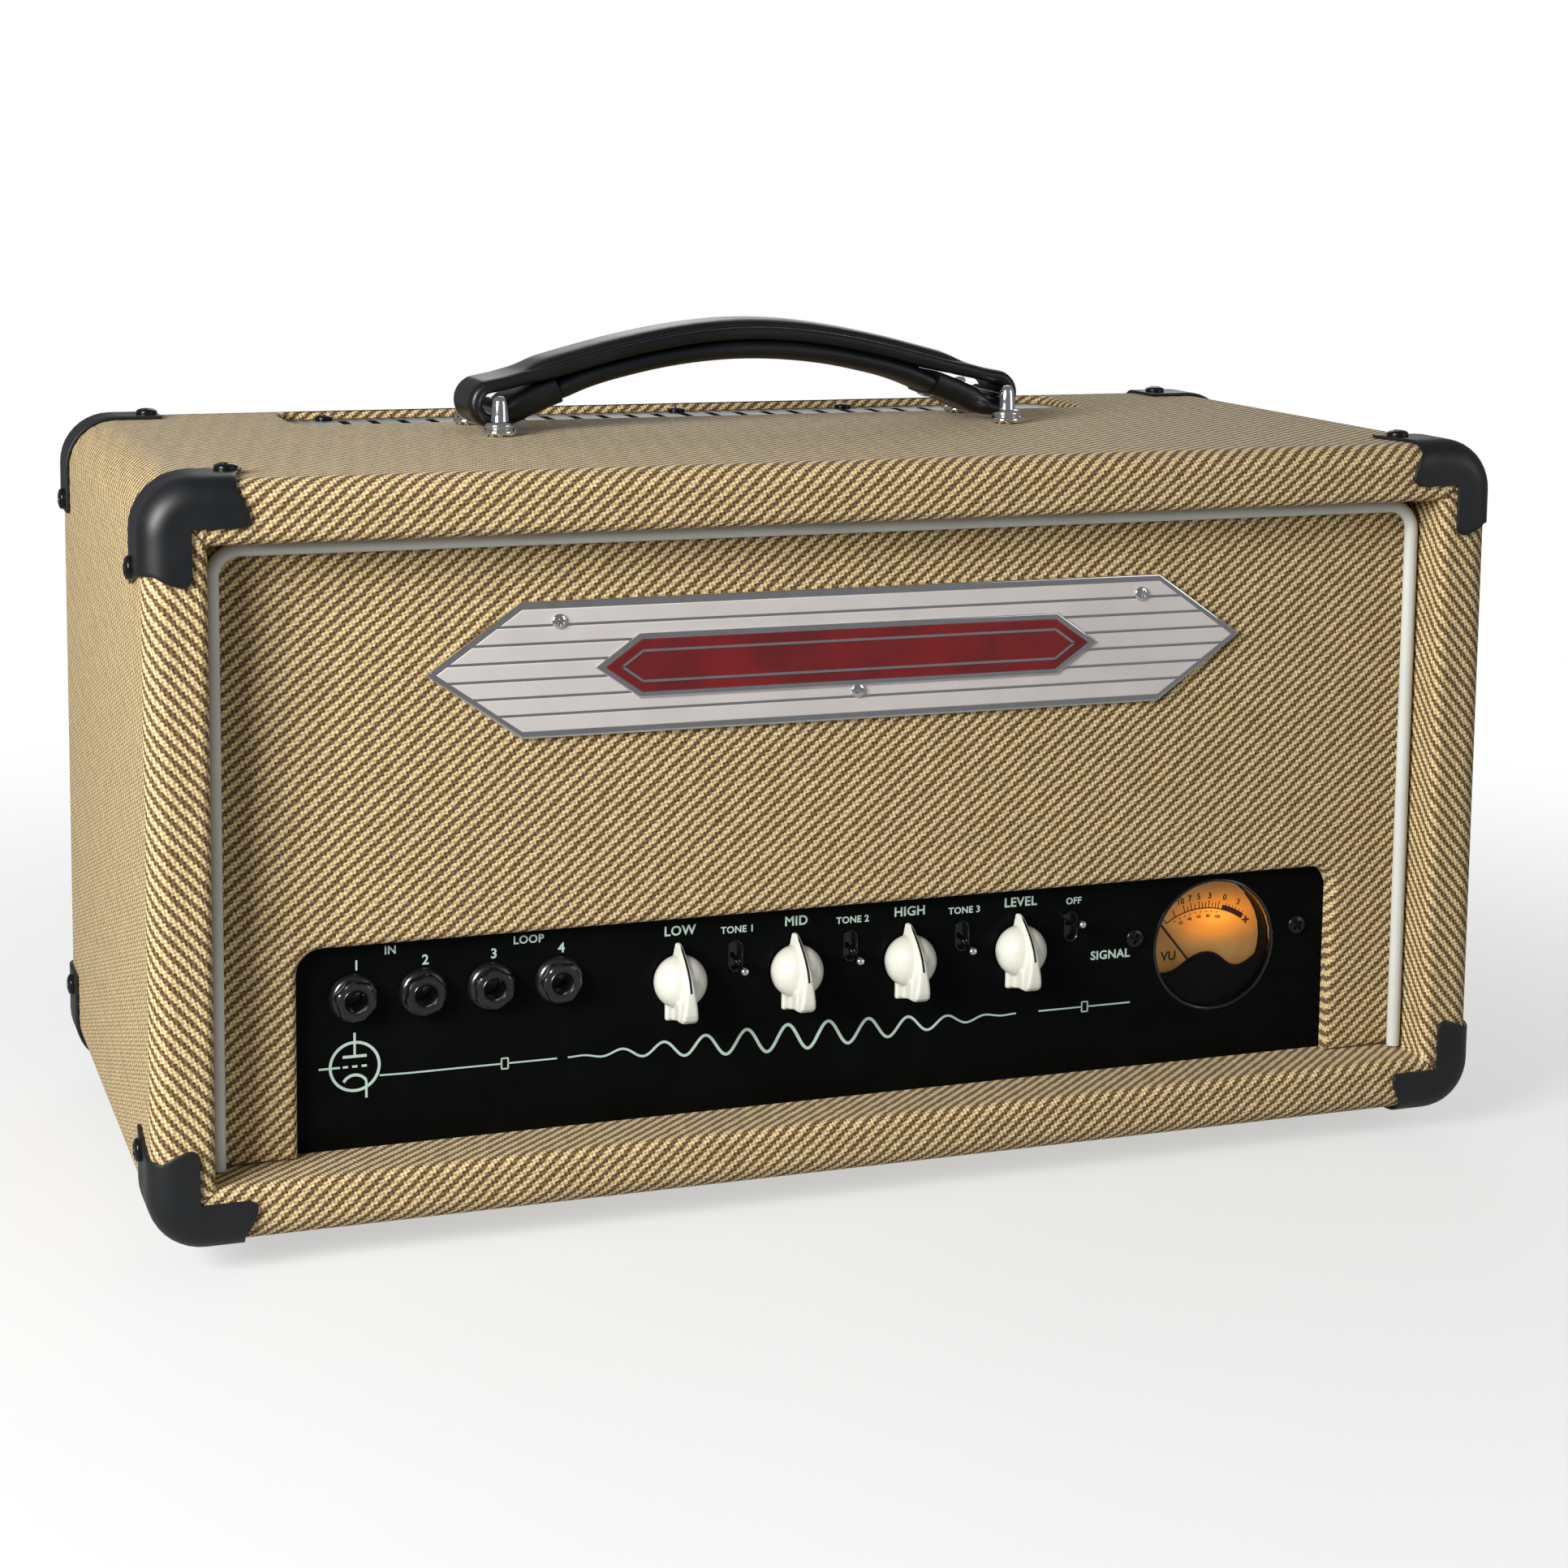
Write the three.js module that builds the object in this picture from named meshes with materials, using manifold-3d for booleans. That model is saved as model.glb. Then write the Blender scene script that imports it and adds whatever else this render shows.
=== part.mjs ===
// Valve guitar amplifier head, millimetres, +Z up, controls facing -Y.
// The origin is on the surface it stands on, under the middle of the cabinet.
import * as THREE from 'three';
import { mergeVertices } from 'three/addons/utils/BufferGeometryUtils.js';
import Module from 'manifold-3d';

const wasm = await Module();
wasm.setup();

// ---------------------------------------------------------------- driving dimensions
const GAP = 0.3;             // air between pieces that touch on the real object
const WIDTH = 505;           // cabinet, over the covering
const DEPTH = 240;
const HEIGHT = 258;
const FOOT_HEIGHT = 12;
const SIDE_T = 21;           // board thicknesses with their covering
const TOP_T = 21.5;
const BASE_T = 20;
const CORNER_R = 18;         // long edges that run front to back
const EDGE_R = 8;            // edges round the front and back openings

const FRONT = -DEPTH / 2;
const BACK = DEPTH / 2;
const FLOOR = FOOT_HEIGHT;                    // underside of the cabinet
const ROOF = FLOOR + HEIGHT;                  // top of the cabinet
const INNER_X = WIDTH / 2 - SIDE_T;
const INNER_LOW = FLOOR + BASE_T;
const INNER_HIGH = ROOF - TOP_T;

const BAFFLE_FACE = FRONT + 19.5;
const BAFFLE_T = 6.2;
const NOTCH_X = 200.5;
const NOTCH_TOP = FLOOR + 93.6;
const NOTCH_R = 9;

const PANEL_FACE = FRONT + 26;
const PANEL_T = 2.4;
const PANEL_X = 204;
const PANEL_BACK = PANEL_FACE + PANEL_T;
const CHASSIS_FRONT = PANEL_BACK + GAP;
const CHASSIS_T = 1.5;
const CHASSIS_BACK = 88;
const CHASSIS_TOP = FLOOR + 98;

const JACK_X = -179.8;       // first jack, then one every pitch
const JACK_PITCH = 24.5;
const JACK_Z = FLOOR + 73.9;
const KNOB_X = -62.5;
const KNOB_PITCH = 44.4;
const KNOB_Z = FLOOR + 70.5;
const LEVER_X = KNOB_X + KNOB_PITCH / 2;
const LEVER_Z = FLOOR + 77;
const LEVER_PIVOT = PANEL_FACE + 5;
const LEVER_TILT = 12;       // degrees from straight out, at either throw
const METER_X = 153.3;
const METER_Z = FLOOR + 65;
const METER_R = 24.8;        // window in the panel
const NEEDLE_DROP = 16.5;    // pivot below the middle of the window
const NEEDLE_REST = -39;     // degrees from upright

const VENT_X = 169;
const VENT_FRONT = FRONT + 177;
const VENT_BACK = FRONT + 230;
const VENT_DROP = 3;         // grille below the top face
const GRILLE_T = 1.2;
const VENT_LEDGE = 9;

const HANDLE_Y = 22;
const POST_X = 104;
const POST_Y = 24;           // posts stand this far either side of the strap's middle
const BAR_UP = 11.3;         // crossbar above the top face
const STRAP_W = 30;

const REAR_Z = FLOOR + 58;   // row of sockets and switches on the back of the chassis
const INLET_X = 160;
const POWER_X = 105;
const STANDBY_X = 70;
const SPEAKER_X = -70;
const SPEAKER_PITCH = 35;

const FOOT_X = 195;
const FOOT_FRONT_Y = FRONT + 55;
const FOOT_BACK_Y = BACK - 45;

// ---------------------------------------------------------------- solids
function solid(geometry) {
  const bare = geometry.clone();
  bare.deleteAttribute('normal');
  bare.deleteAttribute('uv');
  const merged = mergeVertices(bare, 1e-4);
  const index = merged.index.array;
  const tris = [];
  for (let i = 0; i < index.length; i += 3) {
    const [a, b, c] = [index[i], index[i + 1], index[i + 2]];
    if (a !== b && b !== c && c !== a) tris.push(a, b, c);
  }
  return new wasm.Manifold(new wasm.Mesh({
    numProp: 3,
    vertProperties: Float32Array.from(merged.attributes.position.array),
    triVerts: Uint32Array.from(tris),
  }));
}

function geometryOf(manifold) {
  const mesh = manifold.getMesh();
  const geometry = new THREE.BufferGeometry();
  geometry.setAttribute('position', new THREE.BufferAttribute(mesh.vertProperties, 3));
  geometry.setIndex(new THREE.BufferAttribute(mesh.triVerts, 1));
  geometry.computeVertexNormals();
  return geometry;
}

const join = (...solids) => solids.reduce((all, one) => all.add(one));
const cut = (body, ...tools) => tools.reduce((left, tool) => left.subtract(tool), body);

function box(x0, x1, y0, y1, z0, z1) {
  const geometry = new THREE.BoxGeometry(x1 - x0, y1 - y0, z1 - z0);
  return solid(geometry.translate((x0 + x1) / 2, (y0 + y1) / 2, (z0 + z1) / 2));
}

function roundedRect(x0, x1, z0, z1, r) {
  const shape = new THREE.Shape();
  shape.moveTo(x0 + r, z0);
  shape.lineTo(x1 - r, z0);
  shape.absarc(x1 - r, z0 + r, r, -Math.PI / 2, 0);
  shape.lineTo(x1, z1 - r);
  shape.absarc(x1 - r, z1 - r, r, 0, Math.PI / 2);
  shape.lineTo(x0 + r, z1);
  shape.absarc(x0 + r, z1 - r, r, Math.PI / 2, Math.PI);
  shape.lineTo(x0, z0 + r);
  shape.absarc(x0 + r, z0 + r, r, Math.PI, Math.PI * 1.5);
  return shape;
}

// A shape drawn in X and Z, extruded from y0 to y1. A bevel grows the outline and stays inside y0..y1.
function prismY(shape, y0, y1, bevel = 0, bevelSteps = 1, curveSteps = 5) {
  const geometry = new THREE.ExtrudeGeometry(shape, {
    depth: y1 - y0 - 2 * bevel,
    bevelEnabled: bevel > 0,
    bevelThickness: bevel,
    bevelSize: bevel,
    bevelSegments: bevelSteps,
    curveSegments: curveSteps,
  });
  return solid(geometry.rotateX(Math.PI / 2).translate(0, y1 - bevel, 0));
}

function prismZ(shape, z0, z1, curveSteps = 5) {
  const options = { depth: z1 - z0, bevelEnabled: false, curveSegments: curveSteps };
  return solid(new THREE.ExtrudeGeometry(shape, options).translate(0, 0, z0));
}

function cylinderY(r, y0, y1, x = 0, z = 0, sides = 16) {
  const geometry = new THREE.CylinderGeometry(r, r, y1 - y0, sides);
  return solid(geometry.translate(x, (y0 + y1) / 2, z));
}

// Turned piece: profile of [radius, height] pairs from the bottom to the top, on the axis at both ends.
function turned(profile, sides = 16) {
  const points = profile.map(([r, h]) => new THREE.Vector2(r, h));
  return solid(new THREE.LatheGeometry(points, sides));
}

const turnedY = turned;
const turnedZ = (profile, sides) => turned(profile, sides).rotate([90, 0, 0]);

function material(color, roughness, metalness = 0, extra = {}) {
  return new THREE.MeshStandardMaterial({ color, roughness, metalness, ...extra });
}

const finish = {
  tweed: () => material(0xc9ab72, 0.9),
  piping: () => material(0xdcdcd2, 0.55),
  steel: () => material(0x8e8f90, 0.4, 0.8),
  chrome: () => material(0xd6d8da, 0.12, 1),
  blackMetal: () => material(0x17181a, 0.45, 0.5),
  blackPlastic: () => material(0x101112, 0.4),
  panel: () => material(0x070708, 0.25),
  cream: () => material(0xe9e4d6, 0.3),
  leather: () => material(0x121214, 0.5),
  rubber: () => material(0x1b1b1b, 0.8),
  badge: () => material(0xd9d3c8, 0.25, 0.6),
  glass: () => material(0xdfe6e8, 0.05, 0, { transparent: true, opacity: 0.35 }),
  dial: () => material(0xd79a3c, 0.6),
  board: () => material(0x24563a, 0.6),
  lamination: () => material(0x2a2b2d, 0.5, 0.4),
};

function part(name, body, look, x = 0, y = 0, z = 0) {
  const mesh = new THREE.Mesh(geometryOf(body), look());
  mesh.name = name;
  mesh.position.set(x, y, z);
  return mesh;
}

function group(...parts) {
  const made = new THREE.Group();
  made.add(...parts);
  return made;
}

// ---------------------------------------------------------------- cabinet
// The covered box, grown by a given amount on every face.
function coveredBox(grow) {
  const shape = roundedRect(
    -WIDTH / 2 + EDGE_R, WIDTH / 2 - EDGE_R, FLOOR + EDGE_R, ROOF - EDGE_R, CORNER_R - EDGE_R);
  return prismY(shape, FRONT - grow, BACK + grow, EDGE_R + grow, 3, 3);
}

function cabinetShell() {
  const opening = new THREE.Shape([
    new THREE.Vector2(-INNER_X, INNER_LOW), new THREE.Vector2(INNER_X, INNER_LOW),
    new THREE.Vector2(INNER_X, INNER_HIGH), new THREE.Vector2(-INNER_X, INNER_HIGH),
  ]);
  const through = prismY(opening, FRONT - 10, BACK + 10);
  const lip = EDGE_R - 3;
  const easeFront = prismY(opening, FRONT - 2 * lip, FRONT + lip, lip);
  const easeBack = prismY(opening, BACK - lip, BACK + 2 * lip, lip);
  return cut(coveredBox(0), through, easeFront, easeBack);
}

// Wedge between the two mitre lines of one board; shift keeps the mitred faces apart.
function boardWedge(dx, dz) {
  const reach = 60;
  const corners = (x, z, stepX, stepZ) => [x + stepX * reach, z + stepZ * reach];
  const upX = SIDE_T / TOP_T;
  const downX = SIDE_T / BASE_T;
  const shape = new THREE.Shape();
  const inward = 0.2;
  const loop = {
    '0,1': [[-INNER_X, INNER_HIGH, -upX, 1], [INNER_X, INNER_HIGH, upX, 1]],
    '0,-1': [[INNER_X, INNER_LOW, downX, -1], [-INNER_X, INNER_LOW, -downX, -1]],
    '1,0': [[INNER_X, INNER_HIGH, upX, 1], [INNER_X, INNER_LOW, downX, -1]],
    '-1,0': [[-INNER_X, INNER_LOW, -downX, -1], [-INNER_X, INNER_HIGH, -upX, 1]],
  }[`${dx},${dz}`];
  const [first, second] = loop;
  const near = ([x, z, sx, sz]) => [x - sx * 10, z - sz * 10];
  const points = [near(first), corners(...first), corners(...second), near(second)];
  points.forEach(([x, z], i) => {
    const at = [x + dx * inward, z + dz * inward];
    if (i === 0) shape.moveTo(...at);
    else shape.lineTo(...at);
  });
  return prismY(shape, FRONT - 20, BACK + 20);
}

function ventOutline(inset) {
  return roundedRect(
    -VENT_X + inset, VENT_X - inset, VENT_FRONT + inset, VENT_BACK - inset, 12 - inset / 2);
}

function makeCabinet() {
  const shell = cabinetShell();
  const pocket = prismZ(ventOutline(0), ROOF - VENT_DROP - GRILLE_T - GAP, ROOF + 5);
  const throat = prismZ(ventOutline(VENT_LEDGE), INNER_HIGH - 5, ROOF + 5);
  const top = cut(shell.intersect(boardWedge(0, 1)), pocket, throat);
  return group(
    part('cabinet_top', top, finish.tweed),
    part('cabinet_base', shell.intersect(boardWedge(0, -1)), finish.tweed),
    part('cabinet_left_side', shell.intersect(boardWedge(-1, 0)), finish.tweed),
    part('cabinet_right_side', shell.intersect(boardWedge(1, 0)), finish.tweed),
  );
}

function makeVentGrille() {
  const plate = prismZ(ventOutline(0.5), ROOF - VENT_DROP - GRILLE_T, ROOF - VENT_DROP);
  const slotPitch = 12;
  const slotLength = 14;
  const rows = 2;
  const rowStep = (VENT_BACK - VENT_FRONT - 2 * VENT_LEDGE) / rows;
  const slots = [];
  for (let row = 0; row < rows; row += 1) {
    const y = VENT_FRONT + VENT_LEDGE + rowStep * (row + 0.5);
    const count = 26 - (row % 2);
    for (let i = 0; i < count; i += 1) {
      const x = (i - (count - 1) / 2) * slotPitch;
      slots.push(box(x - 1.8, x + 1.8, y - slotLength / 2, y + slotLength / 2,
        ROOF - 20, ROOF));
    }
  }
  return part('vent_grille', cut(plate, join(...slots)), finish.blackMetal);
}

// ---------------------------------------------------------------- corner protectors
// armX and armZ are the lengths along the two edges, web the width of the L on the open face,
// reach how far the flanges run along the long edge.
function makeProtector(name, sideX, sideY, sideZ) {
  const front = sideY < 0;
  const arm = front ? 35.5 : 39;
  const web = front ? 15 : 16;
  const reach = front ? 27 : 28;
  const skin = cut(coveredBox(1.5), coveredBox(GAP));
  const x0 = sideX * (WIDTH / 2 + 5);
  const x1 = sideX * (WIDTH / 2 - arm);
  const zOuter = sideZ > 0 ? ROOF : FLOOR;
  const z0 = zOuter + sideZ * 5;
  const z1 = zOuter - sideZ * arm;
  const y0 = sideY * (DEPTH / 2 + 5);
  const y1 = sideY * (DEPTH / 2 - reach);
  const span = (a, b) => [Math.min(a, b), Math.max(a, b)];
  const region = box(...span(x0, x1), ...span(y0, y1), ...span(z0, z1));
  const open = box(
    ...span(sideX * (WIDTH / 2 - web), x1 - sideX * 5), ...span(y0, y1 - sideY * 5),
    ...span(zOuter - sideZ * web, z1 - sideZ * 5));
  return part(name, cut(skin.intersect(region), open), finish.blackMetal);
}

function makeProtectors() {
  const made = new THREE.Group();
  for (const [level, sideZ] of [['top', 1], ['bottom', -1]]) {
    for (const [end, sideY] of [['front', -1], ['rear', 1]]) {
      for (const [hand, sideX] of [['left', -1], ['right', 1]]) {
        made.add(makeProtector(`corner_${end}_${level}_${hand}`, sideX, sideY, sideZ));
      }
    }
  }
  return made;
}

// ---------------------------------------------------------------- baffle and badge
function makeBaffle() {
  const bevel = 1.5;
  const left = -INNER_X + GAP + bevel;
  const right = -left;
  const low = INNER_LOW + GAP + bevel;
  const high = INNER_HIGH - GAP - bevel;
  const notchX = NOTCH_X + bevel;
  const notchTop = NOTCH_TOP + bevel;
  const cornerR = 8;
  const shape = new THREE.Shape();
  shape.moveTo(left, low);
  shape.lineTo(-notchX, low);
  shape.lineTo(-notchX, notchTop - NOTCH_R);
  shape.absarc(-notchX + NOTCH_R, notchTop - NOTCH_R, NOTCH_R, Math.PI, Math.PI / 2, true);
  shape.lineTo(notchX - NOTCH_R, notchTop);
  shape.absarc(notchX - NOTCH_R, notchTop - NOTCH_R, NOTCH_R, Math.PI / 2, 0, true);
  shape.lineTo(notchX, low);
  shape.lineTo(right, low);
  shape.lineTo(right, high - cornerR);
  shape.absarc(right - cornerR, high - cornerR, cornerR, 0, Math.PI / 2);
  shape.lineTo(left + cornerR, high);
  shape.absarc(left + cornerR, high - cornerR, cornerR, Math.PI / 2, Math.PI);
  return part('front_baffle', prismY(shape, BAFFLE_FACE, BAFFLE_FACE + BAFFLE_T, bevel),
    finish.tweed);
}

function makePiping() {
  const bead = 5;
  const bevel = 1.4;
  const outer = INNER_X - 0.8 - bevel;
  const inner = outer - bead + 2 * bevel;
  const high = INNER_HIGH - 0.8 - bevel;
  const under = high - bead + 2 * bevel;
  const low = INNER_LOW + 1 + bevel;
  const outerR = 11;
  const innerR = outerR - bead + 2 * bevel;
  const shape = new THREE.Shape();
  shape.moveTo(-outer, low);
  shape.lineTo(-inner, low);
  shape.lineTo(-inner, under - innerR);
  shape.absarc(-inner + innerR, under - innerR, innerR, Math.PI, Math.PI / 2, true);
  shape.lineTo(inner - innerR, under);
  shape.absarc(inner - innerR, under - innerR, innerR, Math.PI / 2, 0, true);
  shape.lineTo(inner, low);
  shape.lineTo(outer, low);
  shape.lineTo(outer, high - outerR);
  shape.absarc(outer - outerR, high - outerR, outerR, 0, Math.PI / 2);
  shape.lineTo(-outer + outerR, high);
  shape.absarc(-outer + outerR, high - outerR, outerR, Math.PI / 2, Math.PI);
  const back = BAFFLE_FACE - GAP;
  return part('baffle_piping', prismY(shape, back - bead, back, bevel, 2), finish.piping);
}

// A long plaque with pointed ends.
function makeBadge() {
  const halfLength = 156;
  const shoulder = 122;
  const halfHeight = 24;
  const shape = new THREE.Shape([
    [-halfLength, 0], [-shoulder, -halfHeight], [shoulder, -halfHeight],
    [halfLength, 0], [shoulder, halfHeight], [-shoulder, halfHeight],
  ].map(([x, z]) => new THREE.Vector2(x, z)));
  const thick = 2.6;
  return part('badge_plate', prismY(shape, -thick, 0), finish.badge,
    0, BAFFLE_FACE - GAP, FLOOR + 187);
}

// ---------------------------------------------------------------- control panel
const knobX = [0, 1, 2, 3].map((i) => KNOB_X + i * KNOB_PITCH);
const leverX = [0, 1, 2, 3].map((i) => LEVER_X + i * KNOB_PITCH);
const jackX = [0, 1, 2, 3].map((i) => JACK_X + i * JACK_PITCH);

// Holes through the panel, or larger ones through the sheet behind it.
function frontHoles(y0, y1, extra) {
  const holes = [
    ...jackX.map((x) => cylinderY(5 + extra, y0, y1, x, JACK_Z)),
    ...knobX.map((x) => cylinderY(3.8 + extra, y0, y1, x, KNOB_Z)),
    ...leverX.map((x) => box(x - 2.6 - extra, x + 2.6 + extra, y0, y1,
      LEVER_Z - 5.6 - extra, LEVER_Z + 5.6 + extra)),
    cylinderY(METER_R + 0.4 + extra * 3, y0, y1, METER_X, METER_Z, 32),
  ];
  return join(...holes);
}

function makePanel() {
  const plate = box(-PANEL_X, PANEL_X, PANEL_FACE, PANEL_BACK, INNER_LOW + GAP, CHASSIS_TOP + 2);
  return part('control_panel', cut(plate, frontHoles(PANEL_FACE - 5, PANEL_BACK + 5, 0)),
    finish.panel);
}

// A quarter-inch socket about its own axis: the plug goes in along +Y, the panel face is at y = 0.
function jackBody(wall) {
  const washer = turnedY([[0, -2.6], [7.4, -2.6], [8.8, -GAP], [0, -GAP]], 20);
  const nut = turnedY([[0, -6.2], [6.8, -6.2], [7.6, -5.4], [7.6, -2.4], [0, -2.4]], 6);
  const barrel = cylinderY(4.6, -1.5, wall + 4);
  const housing = box(-8, 8, wall + GAP, wall + 27, -10, 10);
  const socket = cylinderY(4.1, -10, wall + 6, 0, 0, 8);
  const contactSpace = box(-6, 6, wall + 3, wall + 25, -8, 8);
  return cut(join(washer, nut, barrel, housing), socket, contactSpace);
}

function makeJacks() {
  const body = jackBody(PANEL_T + GAP + CHASSIS_T);
  const names = ['input_jack_high', 'input_jack_low', 'loop_send_jack', 'loop_return_jack'];
  return group(...names.map((name, i) => part(name, body, finish.blackPlastic,
    jackX[i], PANEL_FACE, JACK_Z)));
}

// Pointer knob about its own shaft: face towards -Y, pointer up, panel face at y = 0.
function knobBody() {
  const skirt = turnedY([
    [0, -13.4], [3.4, -12.9], [6.4, -11.2], [8.6, -8.4], [9.7, -5], [9.4, -1.8], [8.4, -0.8],
    [0, -0.8],
  ], 20);
  const side = new THREE.Shape([
    [-0.8, 11.4], [-0.8, -15], [-6, -14.6], [-14.4, -12.8], [-17.2, -9.4], [-17.8, -4.5],
    [-16.6, 1.5], [-12.4, 7], [-6.4, 12], [-3.6, 13.6],
  ].map(([y, z]) => new THREE.Vector2(y, z)));
  const wide = 7.4;
  const blade = new THREE.ExtrudeGeometry(side, { depth: wide, bevelEnabled: false });
  blade.applyMatrix4(new THREE.Matrix4().makeBasis(
    new THREE.Vector3(0, 1, 0), new THREE.Vector3(0, 0, 1), new THREE.Vector3(1, 0, 0)));
  blade.translate(-wide / 2, 0, 0);
  const plan = new THREE.Shape([
    [-3.7, -20], [3.7, -20], [3.4, -6], [1.1, 14], [-1.1, 14], [-3.4, -6],
  ].map(([x, z]) => new THREE.Vector2(x, z)));
  const taper = prismY(plan, -25, 0);
  const shaft = cylinderY(3, -2, 14, 0, 0, 12);
  return join(skirt, solid(blade).intersect(taper), shaft);
}

function makeKnobs() {
  const body = knobBody();
  const names = ['bass_knob', 'middle_knob', 'treble_knob', 'master_knob'];
  return group(...names.map((name, i) => part(name, body, finish.cream,
    knobX[i], PANEL_FACE, KNOB_Z)));
}

// Toggle lever about its own pivot, pointing to -Y and tilted down for a positive tilt.
function leverBody(tilt) {
  const lever = turnedY([
    [0, -17], [0.9, -16.8], [1.7, -15.6], [1.7, -14.4], [1.1, -6], [1.3, -2], [2, -1.2],
    [2.1, 0.6], [1.2, 1.8], [0, 2],
  ], 12);
  return lever.rotate([tilt, 0, 0]);
}

function makeLevers() {
  const names = ['mid_shift_lever', 'bass_shift_lever', 'bright_lever', 'mute_lever'];
  return group(...names.map((name, i) => part(
    name, leverBody(i < 3 ? LEVER_TILT : -LEVER_TILT), finish.chrome,
    leverX[i], LEVER_PIVOT, LEVER_Z)));
}

// One board carries the four potentiometers and the four toggle switch bodies.
function makeControlBoard() {
  const face = CHASSIS_FRONT + CHASSIS_T + 1;
  const boardY = face + 9;
  const plate = box(knobX[0] - 22, leverX[3] + 14, boardY, boardY + 1.6, FLOOR + 52, FLOOR + 92);
  const pots = knobX.map((x) => join(
    cylinderY(8.2, face, boardY + 0.5, x, KNOB_Z, 12),
    cylinderY(4.6, boardY, boardY + 6, x, KNOB_Z, 12)));
  const switches = leverX.map((x) => cut(
    box(x - 5, x + 5, face, boardY + 0.5, LEVER_Z - 8, LEVER_Z + 8),
    box(x - 3, x + 3, face - 1, face + 3.2, LEVER_Z - 5, LEVER_Z + 5)));
  const shaftHoles = knobX.map((x) => cylinderY(3.4, face - 1, boardY + 4.5, x, KNOB_Z, 12));
  return part('control_board', cut(join(plate, ...pots, ...switches), ...shaftHoles),
    finish.board);
}

// ---------------------------------------------------------------- level meter
function makeMeter() {
  const cupR = METER_R + 1.4;
  const housing = turnedY([
    [0, 22.4], [cupR - 1.8, 22.4], [cupR - 1.8, 0], [cupR, 0], [cupR, 24], [0, 24],
  ], 32);
  const dial = cylinderY(METER_R - 0.8, 0, 0.8, 0, 0, 32);
  const lens = turnedY([
    [0, 0], [METER_R - 0.4, 0], [METER_R - 0.4, 1.2], [METER_R - 1.6, 1.8], [0, 1.8],
  ], 32);
  const blade = box(-0.4, 0.4, -0.4, 0.4, 0, 32);
  const hub = cylinderY(2.6, -0.7, 0.7, 0, 0, 12);
  const needle = join(blade, hub).rotate([0, NEEDLE_REST, 0]);
  const depth = PANEL_BACK + GAP;
  return group(
    part('meter_housing', housing, finish.blackPlastic, METER_X, depth, METER_Z),
    part('meter_dial', dial, finish.dial, METER_X, depth + 6, METER_Z),
    part('meter_needle', needle, finish.blackMetal, METER_X, depth + 3.5, METER_Z - NEEDLE_DROP),
    part('meter_lens', lens, finish.glass, METER_X, PANEL_FACE + 0.2, METER_Z),
  );
}

// ---------------------------------------------------------------- handle
function strapOutline() {
  const top = [[-104, 20.3], [-88, 25], [-70, 31], [-36, 39], [0, 42]];
  const under = [[0, 27], [-36, 24], [-66, 16.5], [-84, 8], [-96, 3.3]];
  const mirror = (list) => list.map(([x, z]) => [-x, z]).reverse();
  const at = ([x, z]) => new THREE.Vector2(x, ROOF + z);
  const shape = new THREE.Shape();
  shape.moveTo(-104, ROOF + 20.3);
  shape.splineThru([...top.slice(1), ...mirror(top).slice(1)].map(at));
  shape.absarc(104, ROOF + 11.1, 9.2, Math.PI / 2, -Math.PI / 2, true);
  shape.splineThru([...mirror(under), ...under.slice(1)].map(at));
  shape.absarc(-104, ROOF + 11.1, 9.2, -Math.PI / 2, Math.PI / 2, true);
  return shape;
}

// Space inside a loop of the strap, on the left for a side of -1.
function loopOutline(side) {
  const hole = new THREE.Shape();
  hole.moveTo(side * 109.3, ROOF + 10.8);
  hole.bezierCurveTo(side * 109.5, ROOF + 17.4, side * 101, ROOF + 18, side * 87, ROOF + 17.2);
  hole.bezierCurveTo(side * 96, ROOF + 3.6, side * 109.2, ROOF + 2.4, side * 109.3, ROOF + 10.8);
  return hole;
}

function bracketBody() {
  const post = turnedZ([
    [0, GAP], [6, GAP], [6.2, 1.6], [5.6, 2.6], [4.6, 3], [4.6, 4.6], [3.4, 5.2], [3.1, 12],
    [2.2, 14.4], [0, 15.2],
  ], 14);
  const bar = cylinderY(2.1, -POST_Y, POST_Y, 0, BAR_UP, 12);
  return join(post.translate([0, -POST_Y, 0]), post.translate([0, POST_Y, 0]), bar);
}

function makeHandle() {
  const [front, back] = [HANDLE_Y - STRAP_W / 2, HANDLE_Y + STRAP_W / 2];
  const loops = [-1, 1].map((side) => prismY(loopOutline(side), front - 5, back + 5));
  const strap = cut(prismY(strapOutline(), front, back), ...loops);
  const bracket = bracketBody();
  return group(
    part('handle_strap', strap, finish.leather),
    part('handle_bracket_left', bracket, finish.chrome, -POST_X, HANDLE_Y, ROOF),
    part('handle_bracket_right', bracket, finish.chrome, POST_X, HANDLE_Y, ROOF),
  );
}

// ---------------------------------------------------------------- chassis and electronics
const speakerX = [0, 1].map((i) => SPEAKER_X - i * SPEAKER_PITCH);
const INLET_W = 27;
const INLET_H = 20;
const ROCKER_W = 12;
const ROCKER_H = 22;

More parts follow.
